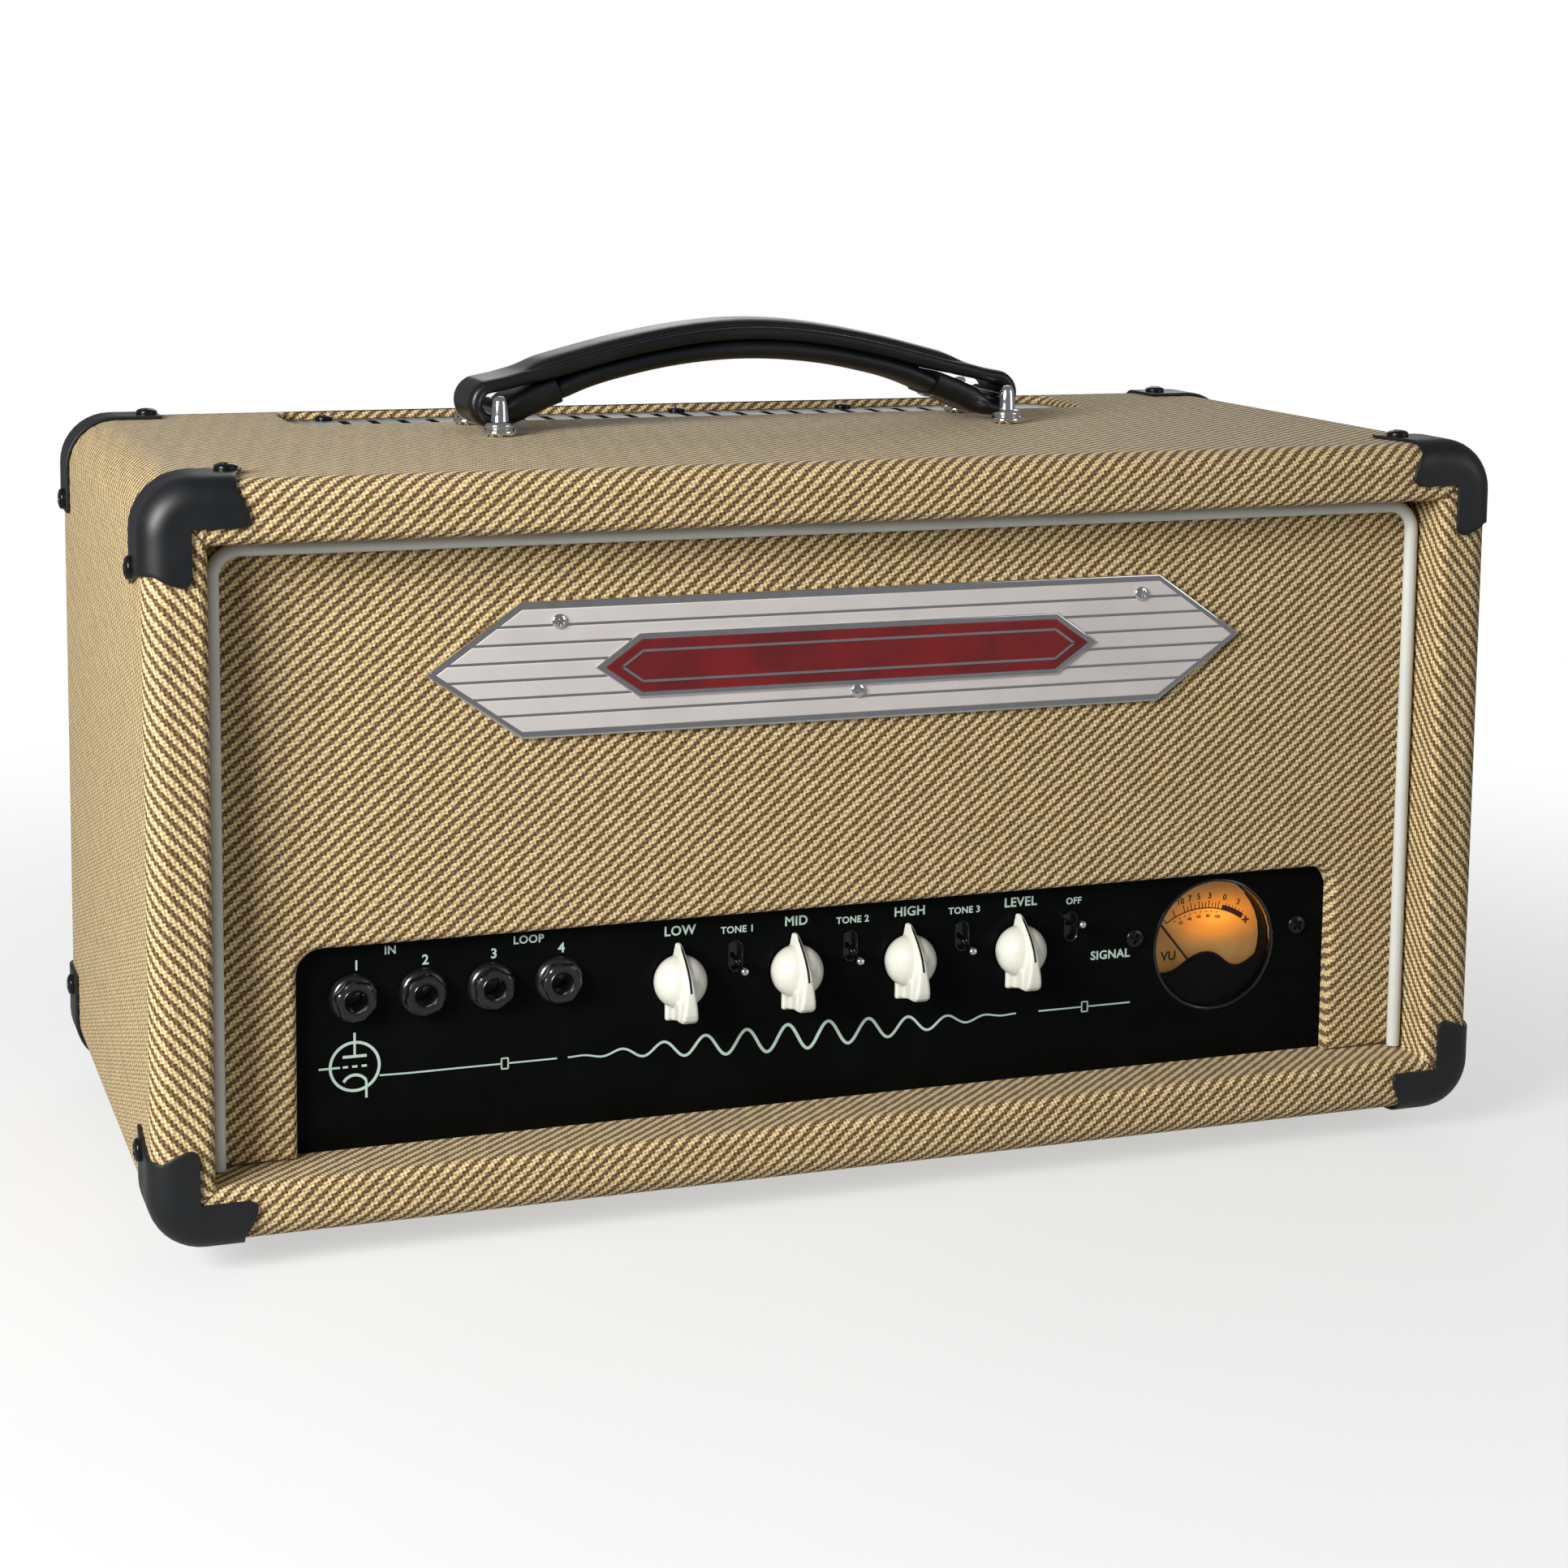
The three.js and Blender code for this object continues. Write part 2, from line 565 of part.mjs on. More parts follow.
function makeChassis() {
  const x = PANEL_X - 1;
  const low = INNER_LOW + GAP;
  const outside = box(-x, x, CHASSIS_FRONT, CHASSIS_BACK, low, CHASSIS_TOP);
  const inside = box(-x + CHASSIS_T, x - CHASSIS_T, CHASSIS_FRONT + CHASSIS_T,
    CHASSIS_BACK - CHASSIS_T, low - 5, CHASSIS_TOP - CHASSIS_T);
  const rear = [CHASSIS_BACK - 6, CHASSIS_BACK + 6];
  const rearHoles = [
    ...speakerX.map((at) => cylinderY(5, ...rear, at, REAR_Z)),
    ...[POWER_X, STANDBY_X].map((at) => box(at - ROCKER_W / 2 - 1.6, at + ROCKER_W / 2 + 1.6,
      ...rear, REAR_Z - ROCKER_H / 2 - 1.6, REAR_Z + ROCKER_H / 2 + 1.6)),
    box(INLET_X - INLET_W / 2 - 0.5, INLET_X + INLET_W / 2 + 0.5, ...rear,
      REAR_Z - INLET_H / 2 - 0.5, REAR_Z + INLET_H / 2 + 0.5),
  ];
  return part('chassis', cut(outside, inside,
    frontHoles(CHASSIS_FRONT - 5, CHASSIS_FRONT + CHASSIS_T + 5, 0.4), ...rearHoles),
  finish.steel);
}

function makeMainBoard() {
  const z = FLOOR + 84;
  const plate = box(-170, 60, -45, 55, z, z + 1.6);
  const parts = [
    box(-140, -110, -30, -16, z - 14, z + 0.5), box(-90, -70, -30, -16, z - 12, z + 0.5),
    box(-20, 8, 20, 40, z - 18, z + 0.5), box(-140, -118, 10, 32, z - 20, z + 0.5),
    box(-60, -44, 18, 38, z - 16, z + 0.5), box(28, 48, -30, -8, z - 22, z + 0.5),
  ];
  return part('main_board', join(plate, ...parts), finish.board);
}

// Transformer about the middle of its foot: laminated core, winding across it, mounting feet.
function transformerBody(w, d, h) {
  const core = box(-w / 2, w / 2, -d / 4, d / 4, 0, h);
  const winding = box(-w / 2 + 10, w / 2 - 10, -d / 2, d / 2, 9, h - 9);
  const feet = box(-w / 2 - 9, w / 2 + 9, -d / 4, d / 4, 0, 2.5);
  return join(core, winding, feet);
}

// Valve about its base: moulded socket, glass envelope and sealed tip.
function valveBody(tall) {
  return turnedZ([
    [0, 0], [12.5, 0], [12.5, 5], [11.8, 9], [11, 9.6], [11, tall - 11], [9.6, tall - 6],
    [5.6, tall - 3], [1.8, tall - 2], [1.2, tall], [0, tall + 0.4],
  ], 16);
}

function makeElectronics() {
  const deck = CHASSIS_TOP + GAP;
  const mains = transformerBody(86, 70, 74);
  const output = transformerBody(72, 60, 62);
  const power = valveBody(80);
  const preamp = valveBody(58);
  const made = group(
    makeChassis(), makeMainBoard(), makeControlBoard(),
    part('mains_transformer', mains, finish.lamination, 140, 12, deck),
    part('output_transformer', output, finish.lamination, -146, 12, deck),
  );
  for (let i = 0; i < 4; i += 1) {
    made.add(part(`power_valve_${i + 1}`, power, finish.glass, -72 + i * 42, 38, deck));
  }
  for (let i = 0; i < 3; i += 1) {
    made.add(part(`preamp_valve_${i + 1}`, preamp, finish.glass, -66 + i * 50, -38, deck));
  }
  return made;
}

// ---------------------------------------------------------------- back of the amplifier
// Mains inlet about the middle of its mouth, flange against the chassis.
function inletBody() {
  const flange = box(-24, 24, GAP, 3.2, -12.5, 12.5);
  const body = box(-INLET_W / 2, INLET_W / 2, -24, 3.2, -INLET_H / 2, INLET_H / 2);
  const cavity = box(-12, 12, -15, 8, -8, 8);
  const pins = [[-7, -2], [0, 2], [7, -2]].map(([x, z]) => box(x - 1, x + 1, -16, -3, z - 2, z + 2));
  return join(cut(join(flange, body), cavity), ...pins);
}

// Rocker switch frame about the rocker's pivot, open right through to the back.
function switchFrameBody() {
  const w = ROCKER_W / 2 + 0.6;
  const h = ROCKER_H / 2 + 0.6;
  const bezel = box(-w - 2.4, w + 2.4, GAP, 2.4, -h - 2.4, h + 2.4);
  const tube = box(-w - 0.7, w + 0.7, -18, 2.4, -h - 0.7, h + 0.7);
  return cut(join(bezel, tube), box(-w, w, -15, 8, -h, h));
}

// Rocker about its pivot; the raised end shows at the top for a positive tilt.
function rockerBody(tilt) {
  const side = new THREE.Shape([
    [-6, -7], [-6, 7], [1.4, 10.4], [3.6, 10.4], [2.6, 0], [3.6, -10.4], [1.4, -10.4],
  ].map(([y, z]) => new THREE.Vector2(y, z)));
  const blank = new THREE.ExtrudeGeometry(side, { depth: ROCKER_W, bevelEnabled: false });
  blank.applyMatrix4(new THREE.Matrix4().makeBasis(
    new THREE.Vector3(0, 1, 0), new THREE.Vector3(0, 0, 1), new THREE.Vector3(1, 0, 0)));
  return solid(blank.translate(-ROCKER_W / 2, 0, 0)).rotate([tilt, 0, 0]);
}

function makeRearSockets() {
  const frame = switchFrameBody();
  const jack = jackBody(GAP + CHASSIS_T).rotate([0, 0, 180]);
  return group(
    part('mains_inlet', inletBody(), finish.blackPlastic, INLET_X, CHASSIS_BACK, REAR_Z),
    part('power_switch_frame', frame, finish.blackPlastic, POWER_X, CHASSIS_BACK, REAR_Z),
    part('power_rocker', rockerBody(7), finish.blackPlastic, POWER_X, CHASSIS_BACK, REAR_Z),
    part('standby_switch_frame', frame, finish.blackPlastic, STANDBY_X, CHASSIS_BACK, REAR_Z),
    part('standby_rocker', rockerBody(7), finish.blackPlastic, STANDBY_X, CHASSIS_BACK, REAR_Z),
    ...speakerX.map((x, i) => part(`speaker_jack_${i + 1}`, jack, finish.blackPlastic,
      x, CHASSIS_BACK, REAR_Z)),
  );
}

// Slotted steel guard that closes the back above the chassis.
function makeRearGuard() {
  const y = 104;
  const thick = 1.5;
  const x = INNER_X - 1;
  const low = CHASSIS_TOP + 4;
  const high = INNER_HIGH - 1;
  const plate = box(-x, x, y, y + thick, low, high);
  const flanges = [
    box(-x, -x + thick, y - 14, y + thick, low, high), box(x - thick, x, y - 14, y + thick, low, high),
    box(-x, x, y - 14, y + thick, high - thick, high),
  ];
  const slots = [];
  const slotPitch = 22;
  for (let row = 0; row < 2; row += 1) {
    const z = low + 38 + row * 54;
    const count = 19 - row;
    for (let i = 0; i < count; i += 1) {
      const at = (i - (count - 1) / 2) * slotPitch;
      slots.push(box(at - 2.5, at + 2.5, y - 5, y + 5, z - 20, z + 20));
    }
  }
  return part('rear_guard', cut(join(plate, ...flanges), join(...slots)), finish.blackMetal);
}

function makeFeet() {
  const foot = turnedZ([
    [0, 0], [13.5, 0], [15.5, 1.5], [18, FOOT_HEIGHT - GAP], [0, FOOT_HEIGHT - GAP],
  ], 18);
  const made = new THREE.Group();
  for (const [end, y] of [['front', FOOT_FRONT_Y], ['rear', FOOT_BACK_Y]]) {
    for (const [hand, x] of [['left', -FOOT_X], ['right', FOOT_X]]) {
      made.add(part(`foot_${end}_${hand}`, foot, finish.rubber, x, y, 0));
    }
  }
  return made;
}

export default group(
  makeCabinet(), makeVentGrille(), makeProtectors(), makeBaffle(), makePiping(), makeBadge(),
  makePanel(), makeJacks(), makeKnobs(), makeLevers(), makeMeter(), makeHandle(),
  makeElectronics(), makeRearSockets(), makeRearGuard(), makeFeet(),
);
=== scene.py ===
"""Looks of the valve guitar amplifier head: fine meshes, materials, light and camera round the CAD frame.

Shapes are worked out in millimetres in the CAD frame and scaled to metres when a mesh is made.
"""

import math

import bmesh
import bpy
from mathutils import Matrix, Vector
from mathutils.bvhtree import BVHTree


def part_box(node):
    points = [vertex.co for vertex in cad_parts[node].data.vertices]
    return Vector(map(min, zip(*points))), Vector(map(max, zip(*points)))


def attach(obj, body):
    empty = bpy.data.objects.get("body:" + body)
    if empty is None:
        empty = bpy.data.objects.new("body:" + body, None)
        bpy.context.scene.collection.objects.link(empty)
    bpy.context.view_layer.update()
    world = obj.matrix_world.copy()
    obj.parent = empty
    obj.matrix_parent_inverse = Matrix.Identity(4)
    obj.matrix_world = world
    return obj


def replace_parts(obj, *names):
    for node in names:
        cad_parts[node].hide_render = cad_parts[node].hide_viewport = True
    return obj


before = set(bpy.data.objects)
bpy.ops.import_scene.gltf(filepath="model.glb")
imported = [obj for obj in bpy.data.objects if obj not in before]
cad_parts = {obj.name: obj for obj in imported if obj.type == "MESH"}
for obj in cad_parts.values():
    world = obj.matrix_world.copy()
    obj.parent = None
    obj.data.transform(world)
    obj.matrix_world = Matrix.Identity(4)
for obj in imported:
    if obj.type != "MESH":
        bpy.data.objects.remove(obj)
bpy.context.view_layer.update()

MM = 0.001


def low(node):
    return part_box(node)[0] / MM


def high(node):
    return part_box(node)[1] / MM


def centre_of(node):
    return (low(node) + high(node)) / 2


def into_scene(name, data):
    """A new object of that mesh, curve, camera or light."""
    obj = bpy.data.objects.new(name, data)
    bpy.context.scene.collection.objects.link(obj)
    return obj


# ---------------------------------------------------------------- sizes, from the frame where it has them
FRONT = low("cabinet_top").y
BACK = high("cabinet_top").y
HALF_W = high("cabinet_right_side").x
ROOF = high("cabinet_top").z
FLOOR = low("cabinet_base").z
SIDE_T, TOP_T, BASE_T = 21.0, 21.5, 20.0
INNER_X = HALF_W - SIDE_T
INNER_LOW = FLOOR + BASE_T
INNER_HIGH = ROOF - TOP_T
CORNER_R = 18.0       # long edges of the cabinet, front to back
EDGE_R = 8.0          # edges round the front and back frames
LIP_R = 3.2           # edges of the opening
BAFFLE_FACE = low("front_baffle").y
PANEL_FACE = low("control_panel").y


# ---------------------------------------------------------------- mesh building
class Solid:
    """Vertices and faces in millimetres, with an optional cloth coordinate on each face corner."""

    def __init__(self):
        self.verts, self.faces, self.cloth = [], [], []

    def add(self, verts, faces, place=None):
        start = len(self.verts)
        place = place or Matrix.Identity(4)
        self.verts += [place @ Vector(v) for v in verts]
        self.faces += [[start + i for i in f] for f in faces]
        return self

    def make(self, name, material, body="cabinet", slot=None, sharp=38):
        mesh = bpy.data.meshes.new(name)
        mesh.from_pydata([v * MM for v in self.verts], [], self.faces)
        if self.cloth:
            layer = mesh.attributes.new("cloth", "FLOAT_VECTOR", "CORNER")
            layer.data.foreach_set("vector", [c for face in self.cloth for at in face for c in at])
        work = bmesh.new()
        work.from_mesh(mesh)
        bmesh.ops.recalc_face_normals(work, faces=work.faces)
        work.to_mesh(mesh)
        work.free()
        mesh.shade_smooth()
        mesh.set_sharp_from_angle(angle=math.radians(sharp))
        obj = into_scene(name, mesh)
        mesh.materials.append(material)
        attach(obj, body)
        return obj


def loft(rings, loop=True, cap=(True, True)):
    """Quads between rings of equally many points; loop joins each ring's ends, cap closes the end rings."""
    n = len(rings[0])
    verts = [p for ring in rings for p in ring]
    faces = []
    for r in range(len(rings) - 1):
        for i in range(n if loop else n - 1):
            j = (i + 1) % n
            faces.append([r * n + i, r * n + j, (r + 1) * n + j, (r + 1) * n + i])
    if cap[0]:
        faces.append(list(range(n))[::-1])
    if cap[1]:
        faces.append([(len(rings) - 1) * n + i for i in range(n)])
    return verts, faces


def turns(sides):
    """The angles of a full turn, in that many equal steps."""
    return [2 * math.pi * i / sides for i in range(sides)]


def lathe(profile, sides=32):
    """Turned shape about -Y: profile holds (radius, distance in front of y = 0)."""
    rings = []
    for radius, out in profile:
        radius = max(radius, 0.01)
        rings.append([(radius * math.cos(a), -out, radius * math.sin(a)) for a in turns(sides)])
    return loft(rings)


def arc(cx, cz, r, start, end, steps):
    angles = [math.radians(start + (end - start) * i / steps) for i in range(steps + 1)]
    return [(cx + r * math.cos(a), cz + r * math.sin(a)) for a in angles]


def offset(points, inward):
    """A closed anticlockwise outline moved into itself, with mitred corners."""
    moved = []
    n = len(points)
    for i, (x, z) in enumerate(points):
        before, after = points[i - 1], points[(i + 1) % n]
        d1 = Vector((x - before[0], z - before[1])).normalized()
        d2 = Vector((after[0] - x, after[1] - z)).normalized()
        n1, n2 = Vector((-d1.y, d1.x)), Vector((-d2.y, d2.x))
        mid = (n1 + n2).normalized()
        step = inward / max(0.35, mid.dot(n1))
        moved.append((x + mid.x * step, z + mid.y * step))
    return moved


def plate(points, front, back, roll, steps=5, support=0.5, cloth=0.0):
    """A plate of that outline with its front edge rolled over; its cloth runs straight up the face."""
    levels = []
    for i in range(steps + 1):
        turn = math.pi / 2 * i / steps
        levels.append((roll * (1 - math.sin(turn)), front + roll * (1 - math.cos(turn)), roll - roll * turn))
    levels.insert(0, (roll + support, front, roll + support))
    depth = back - front - roll
    levels.append((0, back, levels[-1][2] - depth))
    rings = [[(x, y, z) for x, z in offset(points, inset)] for inset, y, _ in levels]
    solid = Solid().add(*loft(rings))
    if cloth:
        flat = [offset(points, unrolled) for _, _, unrolled in levels]
        coordinates = [(x, z, cloth) for ring in flat for x, z in ring]
        solid.cloth = [[coordinates[i] for i in face] for face in solid.faces]
    return solid


def rounded(x0, x1, z0, z1, r, steps=6):
    """Anticlockwise rounded rectangle."""
    return (arc(x1 - r, z0 + r, r, -90, 0, steps) + arc(x1 - r, z1 - r, r, 0, 90, steps)
            + arc(x0 + r, z1 - r, r, 90, 180, steps) + arc(x0 + r, z0 + r, r, 180, 270, steps))


def tube(points, radius, sides=12):
    """Round bar along a list of points."""
    points = [Vector(p) for p in points]
    rings = []
    side = None
    for i, p in enumerate(points):
        ahead = (points[min(i + 1, len(points) - 1)] - points[max(i - 1, 0)]).normalized()
        if side is None:
            side = ahead.orthogonal().normalized()
        side = (side - ahead * side.dot(ahead)).normalized()
        up = ahead.cross(side)
        rings.append([p + side * (radius * math.cos(a)) + up * (radius * math.sin(a)) for a in turns(sides)])
    return loft(rings)


# ---------------------------------------------------------------- materials
class Look:
    """A node material; values may be numbers or the outputs of other nodes."""

    def __init__(self, name):
        self.material = bpy.data.materials.new(name)
        self.material.use_nodes = True
        self.tree = self.material.node_tree
        self.shader = self.tree.nodes["Principled BSDF"]
        self.output = self.tree.nodes["Material Output"]

    def node(self, kind, **settings):
        made = self.tree.nodes.new(kind)
        for key, value in settings.items():
            setattr(made, key, value)
        return made

    def put(self, socket, value):
        if isinstance(value, bpy.types.NodeSocket):
            self.tree.links.new(value, socket)
        else:
            socket.default_value = value

    def math(self, operation, *values, clamp=False):
        made = self.node("ShaderNodeMath", operation=operation, use_clamp=clamp)
        for socket, value in zip(made.inputs, values):
            self.put(socket, value)
        return made.outputs[0]

    def vector(self, operation, *values):
        made = self.node("ShaderNodeVectorMath", operation=operation)
        for socket, value in zip(made.inputs, values):
            self.put(socket, value)
        return made

    def mix(self, amount, a, b):
        made = self.node("ShaderNodeMix", data_type="RGBA")
        self.put(made.inputs["Factor"], amount)
        for socket, value in ((made.inputs[6], a), (made.inputs[7], b)):
            self.put(socket, value if isinstance(value, bpy.types.NodeSocket) else (*value, 1.0))
        return made.outputs[2]

    def place(self):
        return self.node("ShaderNodeTexCoord").outputs["Object"]

    def noise(self, scale, detail=3.0, vector=None, roughness=0.5):
        made = self.node("ShaderNodeTexNoise")
        self.put(made.inputs["Vector"], vector or self.place())
        made.inputs["Scale"].default_value = scale
        made.inputs["Detail"].default_value = detail
        made.inputs["Roughness"].default_value = roughness
        return made.outputs["Fac"]

    def ramp(self, value, low_at, high_at, low_to=0.0, high_to=1.0, smooth=True):
        made = self.node("ShaderNodeMapRange")
        made.interpolation_type = "SMOOTHSTEP" if smooth else "LINEAR"
        for key, v in zip(("Value", "From Min", "From Max", "To Min", "To Max"),
                          (value, low_at, high_at, low_to, high_to)):
            self.put(made.inputs[key], v)
        return made.outputs["Result"]

    def bump(self, height, distance_mm, strength=1.0, under=None):
        made = self.node("ShaderNodeBump")
        made.inputs["Strength"].default_value = strength
        made.inputs["Distance"].default_value = distance_mm * MM
        self.put(made.inputs["Height"], height)
        if under:
            self.put(made.inputs["Normal"], under)
        return made.outputs["Normal"]

    def set(self, **values):
        for key, value in values.items():
            socket = self.shader.inputs[key.replace("_", " ")]
            if isinstance(value, tuple):
                value = (*value, 1.0)
            self.put(socket, value)
        return self


def srgb(r, g, b):
    """Linear colour of an 8-bit display colour."""
    return tuple((c / 255 / 12.92) if c <= 10 else ((c / 255 + 0.055) / 1.055) ** 2.4 for c in (r, g, b))


def tweed():
    """Woven tweed: brown and cream twill stripes whose edges step from thread to thread, each thread with a
    painted highlight on its crest and painted shade in its hollows.
    """
    thread = 1.45        # mm
    stripe = 3.4
    slant = math.radians(41)
    look = Look("tweed")
    at = look.node("ShaderNodeAttribute", attribute_name="cloth")
    split = look.node("ShaderNodeSeparateXYZ")
    look.put(split.inputs[0], at.outputs["Vector"])

    def cloth_noise(scale, detail):
        return look.noise(scale, detail, at.outputs["Vector"])

    drift = look.math("MULTIPLY", look.math("SUBTRACT", cloth_noise(0.3, 1.0), 0.5), 0.7)
    u = look.math("ADD", split.outputs[0], drift)
    v = look.math("SUBTRACT", split.outputs[1], drift)

    def wave(value, period, shift=0.0):
        return look.math("SINE", look.math("MULTIPLY_ADD", value, 2 * math.pi / period, shift))

    def stepped(value, shift):
        return look.math("MULTIPLY_ADD", wave(value, thread, shift), -thread / (2 * math.pi), value)

    across = look.math("SUBTRACT", look.math("MULTIPLY", stepped(v, 0.0), math.cos(slant)),
                       look.math("MULTIPLY", stepped(u, math.pi), math.sin(slant)))
    band = wave(across, stripe)
    fuzz = look.math("SUBTRACT", cloth_noise(1.5, 3.0), 0.5)
    cream_band = look.ramp(look.math("MULTIPLY_ADD", fuzz, 1.1, band), -0.34, 0.34)
    knot_u = wave(look.math("MULTIPLY_ADD", v, 0.3, u), thread, 0.6)
    knot_v = wave(look.math("MULTIPLY_ADD", u, -0.22, v), thread, 1.1)
    relief = look.math("MULTIPLY_ADD", look.math("ADD", knot_u, knot_v), 0.25, 0.5)
    # Painted light: the crests of the threads are painted lighter and their hollows darker, in cream and brown
    # alike.
    thread_painted_light = look.ramp(look.math("MULTIPLY_ADD", fuzz, 0.5, relief), 0.14, 0.82)
    cream = look.mix(thread_painted_light, srgb(178, 152, 102), srgb(238, 218, 167))
    brown = look.mix(thread_painted_light, srgb(74, 52, 29), srgb(134, 106, 74))
    tone = look.ramp(cloth_noise(0.09, 2.0), 0.3, 0.7, 0.94, 1.05, smooth=False)
    toned = look.vector("SCALE", look.mix(cream_band, brown, cream))
    look.put(toned.inputs["Scale"], tone)
    height = look.math("MULTIPLY_ADD", cream_band, 0.45,
                       look.math("MULTIPLY_ADD", relief, 0.8, look.math("MULTIPLY", fuzz, 0.35)))
    look.set(Base_Color=toned.outputs[0], Roughness=0.8, Normal=look.bump(height, 0.26, 0.8),
             Sheen_Weight=0.08, Sheen_Roughness=0.5, Specular_IOR_Level=0.2)
    return look.material


def plain(name, colour, roughness, metallic=0.0, grain=120.0, amount=0.12, bump_mm=0.02, coat=0.0,
          second=None, specular=0.5):
    """Moulded, painted or plated finish with a fine grain, a second tone and slight wear."""
    look = Look(name)
    grains = look.noise(grain, 4.0)
    cloud = look.noise(grain / 14, 3.0)
    other = second or tuple(c * 0.82 for c in colour)
    rough = look.ramp(cloud, 0.3, 0.7, roughness * (1 - amount), min(1.0, roughness * (1 + amount)))
    look.set(Base_Color=look.mix(look.ramp(cloud, 0.35, 0.7), colour, other), Roughness=rough,
             Metallic=metallic, Coat_Weight=coat, Coat_Roughness=0.08, Specular_IOR_Level=specular,
             Normal=look.bump(grains, bump_mm, 0.5))
    return look.material


TWEED = tweed()
BLACK_METAL = plain("satin_black_metal", srgb(9, 12, 15), 0.46, 0.0, 900, 0.12, 0.012, second=srgb(8, 10, 13),
                    specular=0.55)
BLACK_SCREW = plain("black_screw", srgb(17, 18, 20), 0.2, 0.3, 500, 0.2, 0.01)
PIPING = plain("pale_piping", srgb(212, 214, 208), 0.42, 0.0, 260, 0.1, 0.02, second=srgb(200, 202, 196))
SEAM = plain("seam_shadow", srgb(52, 36, 26), 0.9, 0.0, 400)

# ---------------------------------------------------------------- cabinet covering
HALF_ARC = 6            # steps from a corner's mitre to its straight edge
BOARD = 2 * HALF_ARC + 1


class Ring:
    """A rounded rectangle round the cabinet at depth y; inner loops take their cloth straight along."""

    def __init__(self, x, z_low, z_high, radius, y, inner, v, ease=None):
        self.y, self.radius, self.inner = y, radius, inner
        self.v, self.ease, self.from_back = v, ease, False
        centres = [(-x + radius, z_high - radius), (x - radius, z_high - radius), (x - radius, z_low + radius),
                   (-x + radius, z_low + radius)]
        self.points = []
        for board, heading in enumerate((90, 0, -90, -180)):
            for k in range(HALF_ARC + 1):
                self.points.append(self.at(centres[board], heading + 45 - 45 * k / HALF_ARC))
            for k in range(HALF_ARC):
                self.points.append(self.at(centres[(board + 1) % 4], heading - 45 * k / HALF_ARC))

    def at(self, centre, degrees):
        a = math.radians(degrees)
        return centre[0] + self.radius * math.cos(a), self.y, centre[1] + self.radius * math.sin(a)

    def board_v(self, board, length):
        """How far round the cabinet's section the cloth lies here; ease is set on the rings of an opening."""
        v = self.v
        if self.ease is not None:
            thickness = (TOP_T, SIDE_T, BASE_T, SIDE_T)[board]
            inside = v >= 0 and self.ease <= LIP_R
            v = -(thickness - EDGE_R - LIP_R) - v if inside else -(thickness - EDGE_R - self.ease)
        return length - v if self.from_back else v

    def cloth_at(self, board, step, length):
        """Cloth coordinate of a board's point, 0 to BOARD steps along it, clockwise from its first mitre."""
        x, _, z = self.points[(board * BOARD + step) % len(self.points)]
        along = (x, -z, -x, z)[board]
        straight = ((-HALF_W, HALF_W), (-ROOF, -FLOOR), (-HALF_W, HALF_W), (FLOOR, ROOF))[board]
        first, last = straight[0] + CORNER_R, straight[1] - CORNER_R
        if not self.inner and step < HALF_ARC:
            along = first - CORNER_R * math.pi / 4 * (HALF_ARC - step) / HALF_ARC
        if not self.inner and step > HALF_ARC + 1:
            along = last + CORNER_R * math.pi / 4 * (step - HALF_ARC - 1) / HALF_ARC
        quarter = CORNER_R * math.pi / 2
        start = (0, HALF_W - CORNER_R + quarter + ROOF - CORNER_R, 0,
                 -(HALF_W - CORNER_R) - quarter - (ROOF - CORNER_R))[board]
        return start + along, self.board_v(board, length), board * 37.0


def cabinet_end(face, sign):
    """Rings at one end of the cabinet, from inside its opening to the outside; sign is +1 at the front."""
    lip_steps, edge_steps, lining = 4, 10, 40

    def opening(ease, y, beyond):
        return Ring(INNER_X + ease, INNER_LOW - ease, INNER_HIGH + ease, 1.4 + ease, y, True, beyond, ease)

    def outside(inset, y, v, flat=False):
        return Ring(HALF_W - inset, FLOOR + inset, ROOF - inset, CORNER_R - inset, y, flat, v)

    rings = [opening(0, face + sign * (LIP_R + back), LIP_R * math.pi / 2 + back) for back in (lining, 0.8)]
    for k in range(lip_steps + 1):
        turn = math.pi / 2 * k / lip_steps
        rings.append(opening(LIP_R * (1 - math.cos(turn)), face + sign * LIP_R * (1 - math.sin(turn)),
                             LIP_R * (math.pi / 2 - turn)))
    rings.append(opening(LIP_R + 0.6, face, -0.6))
    rings.append(outside(EDGE_R + 0.8, face, -0.8, True))
    for k in range(edge_steps + 1):
        turn = math.pi / 2 * k / edge_steps
        rings.append(outside(EDGE_R * (1 - math.sin(turn)), face + sign * EDGE_R * (1 - math.cos(turn)),
                             EDGE_R * turn, k == 0))
    rings.append(outside(0, face + sign * (EDGE_R + 1.2), EDGE_R * math.pi / 2 + 1.2))
    return rings


VENT_RIM = 2.2
vent_low, vent_high = low("vent_grille"), high("vent_grille")
VENT = (vent_low.x - 0.5, vent_high.x + 0.5, vent_low.y - 0.5, vent_high.y + 0.5)
VENT_FLOOR = vent_high.z
VENT_R = 12.0


def make_covering():
    front, back = cabinet_end(FRONT, 1), cabinet_end(BACK, -1)[::-1]
    length = BACK - FRONT + EDGE_R * (math.pi - 2)
    for ring in back:
        ring.from_back = True
    rings = front + back
    solid = Solid()
    count = len(front[0].points)
    for ring in rings:
        solid.verts += [Vector(p) for p in ring.points]
    top_face = len(front) - 1
    for r in range(len(rings)):
        following = (r + 1) % len(rings)
        for i in range(count):
            board, step = divmod(i, BOARD)
            if r == top_face and board == 0 and step == HALF_ARC:
                continue
            j = (i + 1) % count
            solid.faces.append([r * count + i, r * count + j, following * count + j, following * count + i])
            corners = ((r, step), (r, step + 1), (following, step + 1), (following, step))
            solid.cloth.append([rings[index].cloth_at(board, along, length) for index, along in corners])
    add_vent_opening(solid, top_face * count, (top_face + 1) * count)
    cover = solid.make("cabinet_covering", TWEED, slot="tweed_covering", sharp=50)
    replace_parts(cover, "cabinet_top", "cabinet_base", "cabinet_left_side", "cabinet_right_side")


